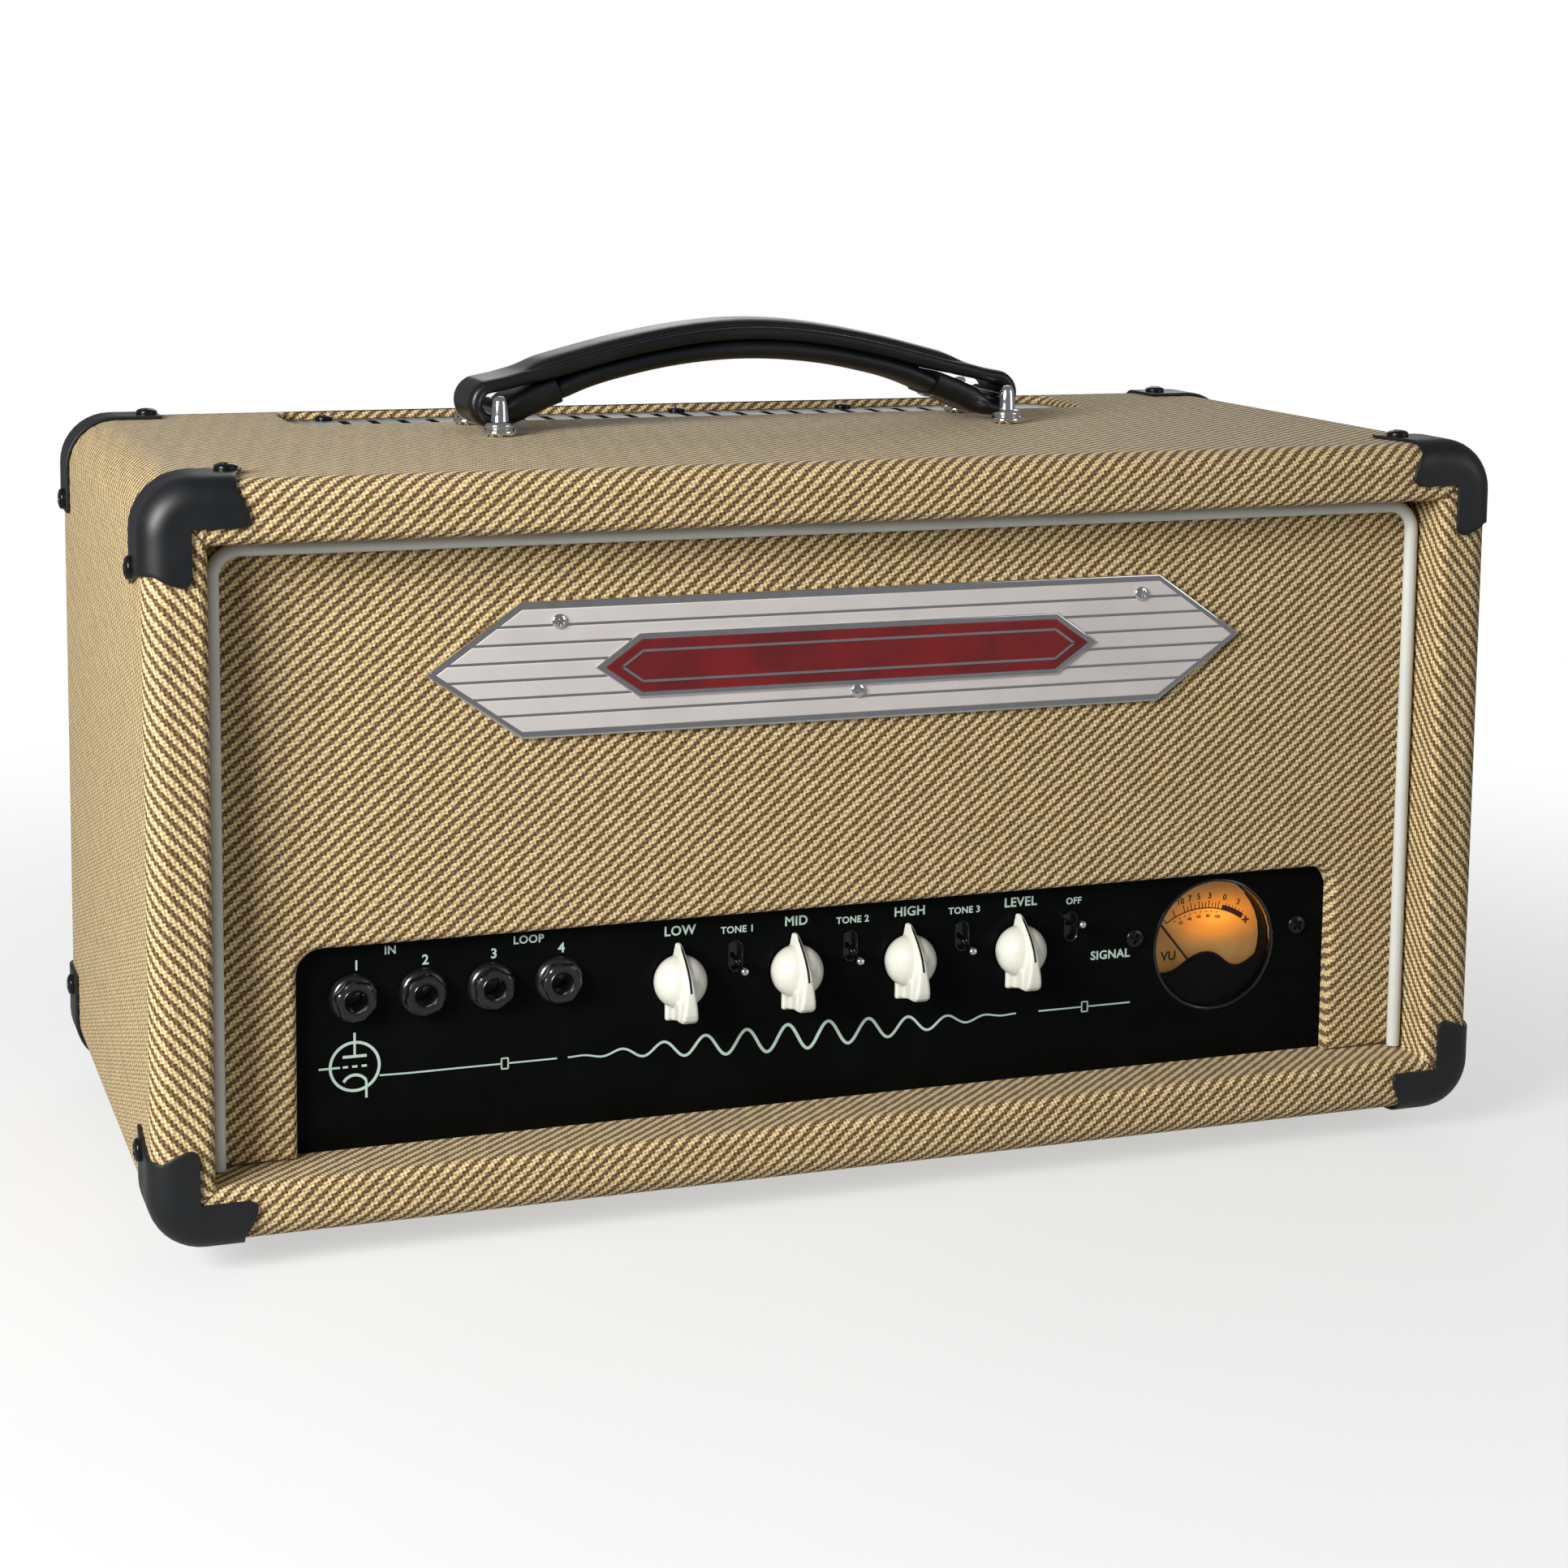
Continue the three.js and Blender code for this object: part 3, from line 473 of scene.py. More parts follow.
def add_vent_opening(solid, front_ring, back_ring):
    """Closes the flat top round the vent, and lines the vent with cloth down to the grille."""
    x0, x1, y0, y1 = VENT
    levels = [(VENT_RIM + 0.6, 0.0)]
    for k in range(5):
        turn = math.pi / 2 * k / 4
        levels.append((VENT_RIM * (1 - math.sin(turn)), VENT_RIM * (1 - math.cos(turn))))
    levels.append((0.0, ROOF - VENT_FLOOR + 1.5))
    start = len(solid.verts)
    loops = []
    for grow, drop in levels:
        outline = rounded(x0 - grow, x1 + grow, y0 - grow, y1 + grow, VENT_R + grow)
        loops.append([Vector((x, y, ROOF - drop)) for x, y in outline])
    steps = len(loops[0]) // 4
    run = [0.0]
    for a, b in zip(loops[-1], loops[-1][1:] + loops[-1][:1]):
        run.append(run[-1] + (b - a).length)
    for loop in loops:
        solid.verts += loop
    edge_v = EDGE_R * math.pi / 2 - FRONT - EDGE_R

    def flat(index):
        p = solid.verts[index]
        return p.x, p.y + edge_v, 0.0

    n = len(loops[0])
    for level in range(len(loops) - 1):
        for i in range(n):
            j = (i + 1) % n
            solid.faces.append([start + level * n + i, start + level * n + j,
                                start + (level + 1) * n + j, start + (level + 1) * n + i])
            solid.cloth.append([(-run[i + a], -levels[level + b][1] * 1.3, 150.0)
                                for a, b in ((0, 0), (1, 0), (1, 1), (0, 1))])
    corners = [ring + HALF_ARC + turned for ring, turned in
               ((front_ring, 1), (back_ring, 1), (back_ring, 0), (front_ring, 0))]
    for k in range(4):
        arc_start = start + k * steps
        for i in range(steps - 1):
            solid.faces.append([corners[k], arc_start + i + 1, arc_start + i])
            solid.cloth.append([flat(index) for index in solid.faces[-1]])
        after = start + (k + 1) % 4 * steps
        solid.faces.append([corners[k], corners[(k + 1) % 4], after, arc_start + steps - 1])
        solid.cloth.append([flat(index) for index in solid.faces[-1]])


def make_mitre_seams():
    """The butted cloth at the corners of both frames shows as a thin dark line."""
    solid = Solid()
    for y, out in ((FRONT, -1), (BACK, 1)):
        for side in (-1, 1):
            for z_in, z_out in ((INNER_HIGH, ROOF), (INNER_LOW, FLOOR)):
                up = math.copysign(1, z_out - z_in)
                first = Vector((side * (INNER_X + 1.6), y + out * 0.02, z_in + up * 1.6))
                last = Vector((side * (HALF_W - EDGE_R - 1), y + out * 0.02, z_out - up * (EDGE_R + 1)))
                solid.add(*tube([first, first.lerp(last, 0.5), last], 0.22, 6))
    solid.make("mitre_seams", SEAM, slot="tweed_covering")


# ---------------------------------------------------------------- baffle and piping
NOTCH_X = 200.5
NOTCH_TOP = FLOOR + 93.6
NOTCH_R = 9.0


def make_baffle():
    left, right = low("front_baffle").x, high("front_baffle").x
    floor, top = low("front_baffle").z, high("front_baffle").z
    outline = ([(right, floor)] + arc(right - 9, top - 9, 9, 0, 90, 6) + arc(left + 9, top - 9, 9, 90, 180, 6)
               + [(left, floor), (-NOTCH_X, floor)]
               + arc(-NOTCH_X + NOTCH_R, NOTCH_TOP - NOTCH_R, NOTCH_R, 180, 90, 10)
               + arc(NOTCH_X - NOTCH_R, NOTCH_TOP - NOTCH_R, NOTCH_R, 90, 0, 10) + [(NOTCH_X, floor)])
    solid = plate(outline, BAFFLE_FACE, BAFFLE_FACE + 6.2, 2.6, steps=6, cloth=1.0)
    obj = solid.make("baffle_board", TWEED, slot="tweed_covering", sharp=60)
    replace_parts(obj, "front_baffle")


def make_piping():
    radius = 2.5
    x = high("baffle_piping").x - radius
    top = high("baffle_piping").z - radius
    foot = low("baffle_piping").z
    y = high("baffle_piping").y - radius
    bend = 9.5
    turn = arc(-x + bend, top - bend, bend, 180, 90, 10) + arc(x - bend, top - bend, bend, 90, 0, 10)
    path = [(-x, y, foot)] + [(px, y, pz) for px, pz in turn] + [(x, y, foot)]
    obj = Solid().add(*tube(path, radius, 20)).make("piping_bead", PIPING, slot="piping")
    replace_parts(obj, "baffle_piping")


# ---------------------------------------------------------------- corner protectors and their screws
def screw_head(radius, tall):
    """Pan head with a cross recess, standing on y = 0 towards -Y."""
    sides, rows, cross = 48, 14, 0.62
    rings = [[(radius * math.cos(a), 0.0, radius * math.sin(a)) for a in turns(sides)]]
    for k in range(rows + 1):
        share = k / rows
        r = radius * math.cos(share * math.pi / 2 * 0.985)
        lift = tall * (0.35 + 0.65 * math.sin(share * math.pi / 2) ** 0.8)
        ring = []
        for a in turns(sides):
            x, z = r * math.cos(a), r * math.sin(a)
            thin, long = sorted((abs(x), abs(z)))
            sunk = max(0.0, 1 - (thin / (cross * radius * 0.2)) ** 4) if long < radius * cross else 0.0
            ring.append((x, -(lift - min(1.0, sunk * 1.4) * tall * 0.42), z))
        rings.append(ring)
    return loft(rings)


def facing(direction, at, spin=0.0):
    """Places a piece made about -Y so that it faces a direction."""
    turn = Vector((0, -1, 0)).rotation_difference(Vector(direction)).to_matrix().to_4x4()
    return Matrix.Translation(Vector(at)) @ turn @ Matrix.Rotation(math.radians(spin), 4, "Y")


PROUD = 1.5             # protectors stand this far over the covering
SHEET_T = 1.25          # thickness of their pressed sheet
TIP_R = 4.0             # rounding at the free corners of their arms


def protector(front, side, up):
    """One protector: a grid round the corner, from the frame's face over its edge and along the cabinet."""
    arm_face, arm_fold, arm_tip = (35.0, 30.5, 36.5) if front else (38.0, 36.0, 36.0)
    web, reach = (15.5, 27.0) if front else (16.0, 28.0)
    edge_steps, arc_steps, arm_steps = 8, 10, 8
    # The section holds (inset, depth from the face).
    face_steps = (0.0, 0.3, 0.8, 1.5, 2.5, 3.8, 5.4)
    section = [(web - step, 0.0) for step in face_steps]
    for k in range(edge_steps + 1):
        turn = math.pi / 2 * k / edge_steps
        section.append((EDGE_R * (1 - math.sin(turn)), EDGE_R * (1 - math.cos(turn))))
    for k in range(1, 7):
        section.append((0.0, EDGE_R + (reach - EDGE_R) * k / 6))
    run = [0.0]
    for a, b in zip(section, section[1:]):
        run.append(run[-1] + math.hypot(b[0] - a[0], b[1] - a[1]))
    fold = run[len(face_steps) + edge_steps // 2 - 1]
    rings = []
    for (inset, depth), at in zip(section, run):
        if at < fold:
            arm = arm_face + (arm_fold - arm_face) * (at / fold) ** 2
            arm -= TIP_R * (1 - math.sqrt(1 - max(0.0, 1 - at / TIP_R) ** 2))
        else:
            share = (at - fold) / (run[-1] - fold)
            arm = arm_fold + (arm_tip - arm_fold) * share ** 1.6
        radius = max(CORNER_R - inset * 1.17, 0.5)
        lean = math.acos(max(0.0, min(1.0, 1 - depth / EDGE_R))) if depth < EDGE_R else math.pi / 2
        out = PROUD * math.sin(lean)
        y_out = PROUD * math.cos(lean)
        cx, cz = HALF_W - inset - radius, ROOF - inset - radius
        radius += out
        straight = arm - inset - (radius - out)
        points = [(cx - straight * (1 - k / arm_steps), cz + radius) for k in range(arm_steps)]
        points += arc(cx, cz, radius, 90, 0, arc_steps)
        points += [(cx + radius, cz - straight * k / arm_steps) for k in range(1, arm_steps + 1)]
        rings.append([(x, FRONT + depth - y_out, z) for x, z in points])
    verts, faces = loft(rings, loop=False, cap=(False, False))
    middle = (ROOF + FLOOR) / 2
    place = Matrix.Diagonal((side, 1 if front else -1, up, 1))
    place.translation = (0, 0, middle * (1 - up))
    return verts, faces, place


def make_protectors():
    for front, end in ((True, "front"), (False, "rear")):
        for up, level in ((1, "top"), (-1, "bottom")):
            for side, hand in ((-1, "left"), (1, "right")):
                verts, faces, place = protector(front, side, up)
                name = f"protector_{end}_{level}_{hand}"
                obj = Solid().add(verts, faces, place).make(name, BLACK_METAL, slot="corner_metal", sharp=35)
                thicken(obj, SHEET_T, 0.35)
                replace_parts(obj, f"corner_{end}_{level}_{hand}")


def apply_modifiers(obj):
    bpy.context.view_layer.update()
    evaluated = obj.evaluated_get(bpy.context.evaluated_depsgraph_get())
    mesh = bpy.data.meshes.new_from_object(evaluated)
    obj.modifiers.clear()
    old = obj.data
    obj.data = mesh
    bpy.data.meshes.remove(old)


def thicken(obj, thickness_mm, bevel_mm):
    solidify = obj.modifiers.new("thickness", "SOLIDIFY")
    solidify.thickness = thickness_mm * MM
    solidify.offset = -1.0
    bevel = obj.modifiers.new("edge", "BEVEL")
    bevel.width = bevel_mm * MM
    bevel.segments = 2
    bevel.limit_method = "ANGLE"
    bevel.angle_limit = math.radians(50)
    apply_modifiers(obj)
    obj.data.set_sharp_from_angle(angle=math.radians(45))


def make_corner_screws():
    solid = Solid()
    head = screw_head(4.1, 2.5)
    spins = iter((12, 40, 75, 20, 55, 33, 8, 62, 27, 81, 49, 15, 70, 36, 5, 58))
    for y, from_corner in ((FRONT + 19.5, 30), (BACK - 20.5, 31)):
        for side in (-1, 1):
            for z_face, z_side, direction in ((ROOF + PROUD, ROOF - from_corner, 1),
                                              (FLOOR - PROUD, FLOOR + from_corner, -1)):
                on_board, on_side = side * (HALF_W - from_corner), side * (HALF_W + PROUD)
                solid.add(*head, facing((0, 0, direction), (on_board, y, z_face), next(spins)))
                solid.add(*head, facing((side, 0, 0), (on_side, y, z_side), next(spins)))
    solid.make("corner_screws", BLACK_SCREW, slot="corner_metal")


make_covering()
make_mitre_seams()
make_baffle()
make_piping()
make_protectors()
make_corner_screws()

# ---------------------------------------------------------------- more shapes
def turned_ring(profile, sides=40):
    """Turned ring about -Y from a closed profile of (radius, distance in front of y = 0)."""
    rings = [[(r * math.cos(a), -out, r * math.sin(a)) for a in turns(sides)]
             for r, out in profile + profile[:1]]
    return loft(rings, cap=(False, False))


def lettering(words, x, z, cap, y, thick=0.12, turn=0.0, spread=1.0):
    """Solid printed characters centred on (x, z), with their face at y."""
    curve = bpy.data.curves.new("letters", "FONT")
    curve.body = words
    curve.size = cap / 0.71
    curve.align_x = "CENTER"
    curve.align_y = "CENTER"
    curve.extrude = thick / 2
    curve.offset = cap * 0.028
    curve.resolution_u = 3
    curve.space_character = spread
    obj = into_scene("letters", curve)
    bpy.context.view_layer.update()
    mesh = obj.evaluated_get(bpy.context.evaluated_depsgraph_get()).to_mesh()
    a = math.radians(turn)
    verts = [(x + v.co.x * math.cos(a) + v.co.y * math.sin(a), y + thick / 2 - v.co.z,
              z + v.co.y * math.cos(a) - v.co.x * math.sin(a)) for v in mesh.vertices]
    faces = [list(p.vertices) for p in mesh.polygons]
    bpy.data.objects.remove(obj)
    bpy.data.curves.remove(curve)
    return verts, faces


def slab(points, y0, y1):
    """Plain prism of an anticlockwise (x, z) outline between two depths."""
    return loft([[(x, y0, z) for x, z in points], [(x, y1, z) for x, z in points]])


def stroke(points, width, y0, y1):
    """A printed line of constant width along (x, z) points."""
    left, right = [], []
    for i, p in enumerate(points):
        a, b = points[max(i - 1, 0)], points[min(i + 1, len(points) - 1)]
        d = Vector((b[0] - a[0], b[1] - a[1])).normalized()
        half = (width(i / (len(points) - 1)) if callable(width) else width) / 2
        left.append((p[0] - d.y * half, p[1] + d.x * half))
        right.append((p[0] + d.y * half, p[1] - d.x * half))
    rings = [[(l[0], y0, l[1]), (r[0], y0, r[1]), (r[0], y1, r[1]), (l[0], y1, l[1])]
             for l, r in zip(left, right)]
    return loft(rings)


def straight_stroke(a, b, width, y0, y1):
    return stroke([a, ((a[0] + b[0]) / 2, (a[1] + b[1]) / 2), b], width, y0, y1)


def obround(half_w, half_h, x, z):
    """A slot's outline, round at both ends, centred on (x, z)."""
    return [(x + px, z + pz) for px, pz in rounded(-half_w, half_w, -half_h, half_h, half_w * 0.999, 8)]


# ---------------------------------------------------------------- more materials
def panel_paint():
    look = Look("panel_gloss_black")
    dust = look.noise(60, 5.0, roughness=0.7)
    look.set(Base_Color=look.mix(look.ramp(dust, 0.35, 0.75), srgb(7, 8, 8), srgb(11, 12, 12)),
             Roughness=look.ramp(dust, 0.3, 0.8, 0.16, 0.24), Specular_IOR_Level=0.04,
             Normal=look.bump(look.noise(900, 2.0), 0.004, 0.5))
    return look.material


def moulded(name, colour, second, roughness, coat=0.5, subsurface=0.0):
    look = Look(name)
    cloud = look.noise(45, 3.0)
    look.set(Base_Color=look.mix(look.ramp(cloud, 0.35, 0.7), colour, second),
             Roughness=look.ramp(cloud, 0.3, 0.7, roughness * 0.85, roughness * 1.15),
             Coat_Weight=coat, Coat_Roughness=0.05, Normal=look.bump(look.noise(600, 3.0), 0.006, 0.4))
    if subsurface:
        look.set(Subsurface_Weight=subsurface, Subsurface_Scale=0.004)
    return look.material


def chrome(name="chrome", colour=(0.78, 0.79, 0.81), roughness=0.08):
    look = Look(name)
    wear = look.noise(180, 4.0, roughness=0.7)
    look.set(Base_Color=look.mix(look.ramp(wear, 0.3, 0.8), colour, tuple(c * 0.86 for c in colour)),
             Metallic=1.0, Roughness=look.ramp(wear, 0.35, 0.75, roughness * 0.7, roughness * 1.8),
             Normal=look.bump(look.noise(500, 2.0), 0.003, 0.4))
    return look.material


def leather():
    look = Look("strap_leather")
    pores = look.node("ShaderNodeTexVoronoi", feature="DISTANCE_TO_EDGE")
    look.put(pores.inputs["Vector"], look.place())
    pores.inputs["Scale"].default_value = 900
    pebble = look.ramp(pores.outputs["Distance"], 0.0, 0.28)
    creases = look.noise(260, 5.0, roughness=0.65)
    worn = look.noise(28, 3.0)
    height = look.math("MULTIPLY_ADD", creases, 0.6, look.math("MULTIPLY", pebble, 0.5))
    look.set(Base_Color=look.mix(look.ramp(worn, 0.35, 0.75), srgb(8, 10, 12), srgb(14, 16, 19)),
             Roughness=look.ramp(worn, 0.3, 0.75, 0.3, 0.42), Specular_IOR_Level=0.45,
             Normal=look.bump(height, 0.07, 0.6))
    return look.material


def laminations():
    look = Look("transformer_laminations")
    split = look.node("ShaderNodeSeparateXYZ")
    look.put(split.inputs[0], look.place())
    line = look.math("SINE", look.math("MULTIPLY", split.outputs[1], 2 * math.pi / (0.9 * MM)))
    sheet = look.ramp(line, -0.3, 0.6)
    rust = look.ramp(look.noise(70, 5.0, roughness=0.7), 0.5, 0.8)
    look.set(Base_Color=look.mix(rust, look.mix(sheet, srgb(30, 29, 28), srgb(82, 80, 77)), srgb(70, 48, 36)),
             Metallic=0.6, Roughness=0.5, Normal=look.bump(sheet, 0.15, 0.6))
    return look.material


def board():
    look = Look("circuit_board")
    copper = look.node("ShaderNodeTexBrick")
    look.put(copper.inputs["Vector"], look.place())
    copper.inputs["Scale"].default_value = 90
    copper.inputs["Mortar Size"].default_value = 0.03
    look.set(Base_Color=look.mix(look.math("MULTIPLY", copper.outputs["Fac"], 0.5), srgb(24, 62, 44),
                                 srgb(96, 110, 62)),
             Roughness=look.ramp(look.noise(120), 0.3, 0.7, 0.35, 0.5),
             Normal=look.bump(copper.outputs["Fac"], 0.05, 0.5))
    return look.material


def clear(name, tint, roughness, ior):
    look = Look(name)
    smear = look.noise(35, 4.0)
    look.set(Base_Color=look.mix(look.ramp(smear, 0.4, 0.8), tint, tuple(c * 0.96 for c in tint)),
             Roughness=look.ramp(smear, 0.4, 0.8, roughness, roughness + 0.02),
             Transmission_Weight=1.0, IOR=ior)
    return look.material


def dial_glow(centre):
    """Printed dial lit from behind by a lamp above its middle; the lamp's pool of light is painted into its
    base colour and its glow is painted in as emission.
    """
    look = Look("dial_painted_backlight")
    lamp = (centre + Vector((6.0, 0.0, 8.5))) * MM
    from_lamp = look.vector("SUBTRACT", look.place(), lamp).outputs[0]
    squashed = look.vector("MULTIPLY", from_lamp, (0.62, 0.0, 1.25)).outputs[0]
    distance = look.vector("LENGTH", squashed).outputs["Value"]
    # Painted light: a pool of the hidden lamp's light, hottest just over it, tints the base colour and drives
    # the glowing emission.
    lamp_hot_spot = look.ramp(distance, 0.0, 0.0075, 1.0, 0.0)
    lamp_glow_pool = look.ramp(distance, 0.002, 0.0185, 1.0, 0.0)
    paper = look.ramp(look.noise(150, 4.0), 0.3, 0.7)
    card = look.mix(paper, srgb(178, 138, 80), srgb(190, 150, 92))
    card_with_painted_glow = look.mix(lamp_glow_pool, card, srgb(222, 134, 44))
    glow = look.mix(lamp_glow_pool, srgb(158, 106, 48), srgb(238, 136, 32))
    look.set(Base_Color=card_with_painted_glow, Roughness=0.6,
             Emission_Color=look.mix(lamp_hot_spot, glow, srgb(255, 176, 62)),
             Emission_Strength=look.ramp(lamp_glow_pool, 0.0, 1.0, 0.24, 0.8, smooth=False))
    return look.material


PANEL_BLACK = panel_paint()
MINT = plain("mint_print", srgb(188, 212, 197), 0.5, 0.0, 700, 0.1, 0.004, second=srgb(178, 203, 188))
KNOB_CREAM = moulded("knob_cream", srgb(226, 226, 214), srgb(220, 219, 205), 0.28, 0.6, 0.08)
GLOSS_BLACK = moulded("gloss_black_plastic", srgb(10, 10, 11), srgb(17, 17, 19), 0.22, 0.4)
SOCKET_BLACK = moulded("socket_black", srgb(13, 13, 15), srgb(22, 22, 25), 0.26, 0.5)
CHROME = chrome()
DARK_CHROME = chrome("dark_nickel", (0.42, 0.42, 0.44), 0.14)
LEATHER = leather()
STITCH = plain("black_thread", srgb(30, 30, 32), 0.6, 0.0, 900, 0.1, 0.03)
GREY_THREAD = plain("grey_thread", srgb(120, 122, 126), 0.6, 0.0, 900)
STEEL = plain("chassis_steel", srgb(150, 152, 155), 0.36, 1.0, 320, 0.1, 0.01, second=srgb(144, 146, 149))
COVER_BLACK = plain("meter_cover_black", srgb(9, 9, 10), 0.45, 0.0, 500, 0.1, 0.005, second=srgb(12, 12, 13),
                    specular=0.08)
GRILLE_METAL = plain("grille_metal", srgb(30, 31, 34), 0.36, 0.4, 500, 0.1, 0.012, second=srgb(26, 27, 30))
RUBBER = plain("foot_rubber", srgb(22, 22, 23), 0.75, 0.0, 420, 0.12, 0.06)
ENAMEL = moulded("badge_enamel_pearl", srgb(205, 199, 195), srgb(198, 191, 187), 0.3, 0.6)
ENAMEL_RED = moulded("badge_enamel_red", srgb(120, 22, 24), srgb(98, 16, 19), 0.26, 0.7)
DIAL_BLACK = plain("dial_print", srgb(38, 27, 20), 0.6, 0.0, 900)
DIAL_RED = plain("dial_red_zone", srgb(88, 34, 36), 0.6, 0.0, 900)
LENS = clear("meter_lens", (1.0, 0.985, 0.95), 0.0, 1.1)
GLASS = clear("valve_glass", (0.97, 0.98, 0.98), 0.0, 1.3)
PLATE_GREY = plain("anode_grey", srgb(72, 72, 74), 0.5, 0.6, 300)
GETTER = chrome("getter_silver", (0.5, 0.5, 0.52), 0.2)
LAMINATION = laminations()
BOARD = board()


def dress(material, *nodes):
    """A CAD node whose shape is right keeps it and takes this finish."""
    for node in nodes:
        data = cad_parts[node].data
        data.materials.clear()
        data.materials.append(material)


# ---------------------------------------------------------------- control panel
PRINT_FACE = PANEL_FACE - 0.14
LINE_Z = FLOOR + 45.3


def make_panel_print():
    solid = Solid()
    labels = (("IN", -166.8, 101.7, 2.9), ("LOOP", -117.4, 101.4, 2.9),
              ("1", -178.7, 97.2, 3.5), ("2", -154.4, 97.2, 3.5),
              ("3", -129.9, 97.3, 3.5), ("4", -105.4, 97.3, 3.5),
              ("LOW", -61.5, 99.9, 3.5), ("MID", -17.1, 99.9, 3.5), ("HIGH", 27.4, 99.9, 3.5),
              ("LEVEL", 72.0, 99.9, 3.5),
              ("TONE 1", -39.6, 98.6, 2.5), ("TONE 2", 4.9, 98.6, 2.5), ("TONE 3", 49.3, 98.6, 2.5),
              ("OFF", 93.9, 98.6, 2.5), ("SIGNAL", 109.6, 76.6, 3.3))
    for words, x, z, cap in labels:
        solid.add(*lettering(words, x, z, cap, PRINT_FACE, 0.1, spread=1.06))
    back = PANEL_FACE + 0.02

    for start, middle, finish in ((-151, -126, -107), (80.4, 99.4, 118.3)):
        for x0, x1 in ((start, middle - 1.2), (middle + 1.2, finish)):
            solid.add(*straight_stroke((x0, LINE_Z), (x1, LINE_Z), 0.55, PRINT_FACE, back))
        square = [(middle + x, LINE_Z + z) for x, z in ((-1.2, -1.9), (1.2, -1.9), (1.2, 1.9), (-1.2, 1.9))]
        for a, b in zip(square, square[1:] + square[:1]):
            solid.add(*straight_stroke(a, b, 0.5, PRINT_FACE, back))
    # A swelling sine wave fills the middle of the rule.
    wave = []
    steps, cycles, start, length = 240, 11, -103, 174
    for share in (i / steps for i in range(steps + 1)):
        sag = -0.6 * math.sin(math.pi * share)
        swell = 4.8 * math.sin(math.pi * share) ** 1.2
        wave.append((start + share * length, LINE_Z + sag + swell * math.sin(2 * math.pi * share * cycles)))
    solid.add(*stroke(wave, lambda t: 0.55 + 0.6 * math.sin(math.pi * t), PRINT_FACE, back))
    # The circuit symbol of a valve closes its left end.
    cx, cz, r = -179.5, LINE_Z + 4.2, 8.6
    ring = [(cx + r * math.cos(t * math.pi / 24), cz + r * math.sin(t * math.pi / 24)) for t in range(49)]
    solid.add(*stroke(ring, 1.0, PRINT_FACE, back))
    for lift, (points, width) in enumerate((
            ([(cx - 4.2, cz + 3.6), (cx, cz + 3.6), (cx + 4.2, cz + 3.6)], 1.0),
            ([(cx, cz + 3.6), (cx, cz + 8), (cx, cz + 12)], 0.8),
            ([(cx - 12.6, cz), (cx - 9, cz), (cx - 5.2, cz)], 0.7),
            ([(cx - 4.2, cz), (cx - 3.3, cz), (cx - 2.4, cz)], 0.8),
            ([(cx - 0.9, cz), (cx, cz), (cx + 0.9, cz)], 0.8),
            ([(cx + 2.4, cz), (cx + 3.3, cz), (cx + 4.2, cz)], 0.8),
            (arc(cx, cz - 7.6, 4.6, 150, 30, 8), 1.0),
            ([(cx + 4.0, cz - 5.3), (cx + 4.0, cz - 8), (cx + 4.0, cz - 11.5)], 0.8),
            ([(cx + 8.7, cz - 4), (cx + 18, LINE_Z), (cx + 28.4, LINE_Z)], 0.55))):
        solid.add(*stroke(points, width, PRINT_FACE - 0.012 * lift, back + 0.01 * lift))
    solid.make("panel_print", MINT, slot="panel_black", sharp=30)


def make_panel_screws():
    solid = Solid()
    for x, z, spin in ((119.4, 82.3, 22), (188.7, 82.0, 51)):
        solid.add(*screw_head(3.6, 2.2), facing((0, -1, 0), (x, PANEL_FACE, z), spin))
    solid.make("panel_screws", BLACK_SCREW, slot="panel_black")


JACK_NODES = ("input_jack_high", "input_jack_low", "loop_send_jack", "loop_return_jack")


def jack(solid, sleeve, at, direction, spin):
    """A moulded quarter-inch socket: washer, hexagon nut, barrel, and the housing behind the panel."""
    place = Matrix.Translation(at) @ Matrix.Rotation(0 if direction < 0 else math.pi, 4, "Z")
    bore = 3.95
    washer = [(bore + 1.2, 0.05), (8.5, 0.05), (8.8, 0.35), (8.75, 0.9), (8.2, 1.9), (7.5, 2.6), (6.9, 2.85),
              (bore + 1.2, 2.85)]
    solid.add(*turned_ring(washer, 48), place)
    rings = []
    for out, across, chamfer in ((2.7, 7.7, 1.0), (4.6, 7.7, 0.985), (5.4, 7.55, 0.925), (5.75, 7.3, 0.87)):
        ring = []
        for a in turns(48):
            flat = across * math.cos(math.pi / 6) / math.cos((a % (math.pi / 3)) - math.pi / 6)
            reach = min(flat, across * chamfer)
            ring.append((reach * math.cos(a), -out, reach * math.sin(a)))
        rings.append(ring)
    inner = [[(4.7 * math.cos(a), -out, 4.7 * math.sin(a)) for a in turns(48)] for out in (5.75, 2.7)]
    solid.add(*loft(rings + inner + rings[:1], cap=(False, False)),
              place @ Matrix.Rotation(math.radians(spin), 4, "Y"))
    lip = [(bore, 5.6), (bore + 0.3, 5.95), (4.5, 5.9), (4.7, 5.7), (4.7, -4.0), (bore + 0.4, -4.0),
           (bore, -3.6)]
    solid.add(*turned_ring(lip, 40), place)
    housing = rounded(-8, 8, -10, 10, 1.2, 3)
    solid.add(*loft([[(x * s, -out, z * s) for x, z in housing] for out, s in
                     ((-4.6, 0.94), (-5.2, 1.0), (-30.4, 1.0), (-31.0, 0.94))]), place)
    sleeve.add(*turned_ring([(3.68, 4.6), (3.62, 5.1), (bore - 0.05, 5.5), (bore - 0.05, 4.2)], 40), place)


def make_jacks():
    sleeves = Solid()
    spins = {"input_jack_high": 12, "input_jack_low": 41, "loop_send_jack": 27, "loop_return_jack": 3}
    for node in JACK_NODES:
        at = centre_of(node)
        solid = Solid()
        jack(solid, sleeves, (at.x, PANEL_FACE, at.z), -1, spins[node])
        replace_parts(solid.make(f"socket_{node}", SOCKET_BLACK, slot="socket_black", sharp=28), node)
    sleeves.make("socket_sleeves", CHROME, slot="socket_black")


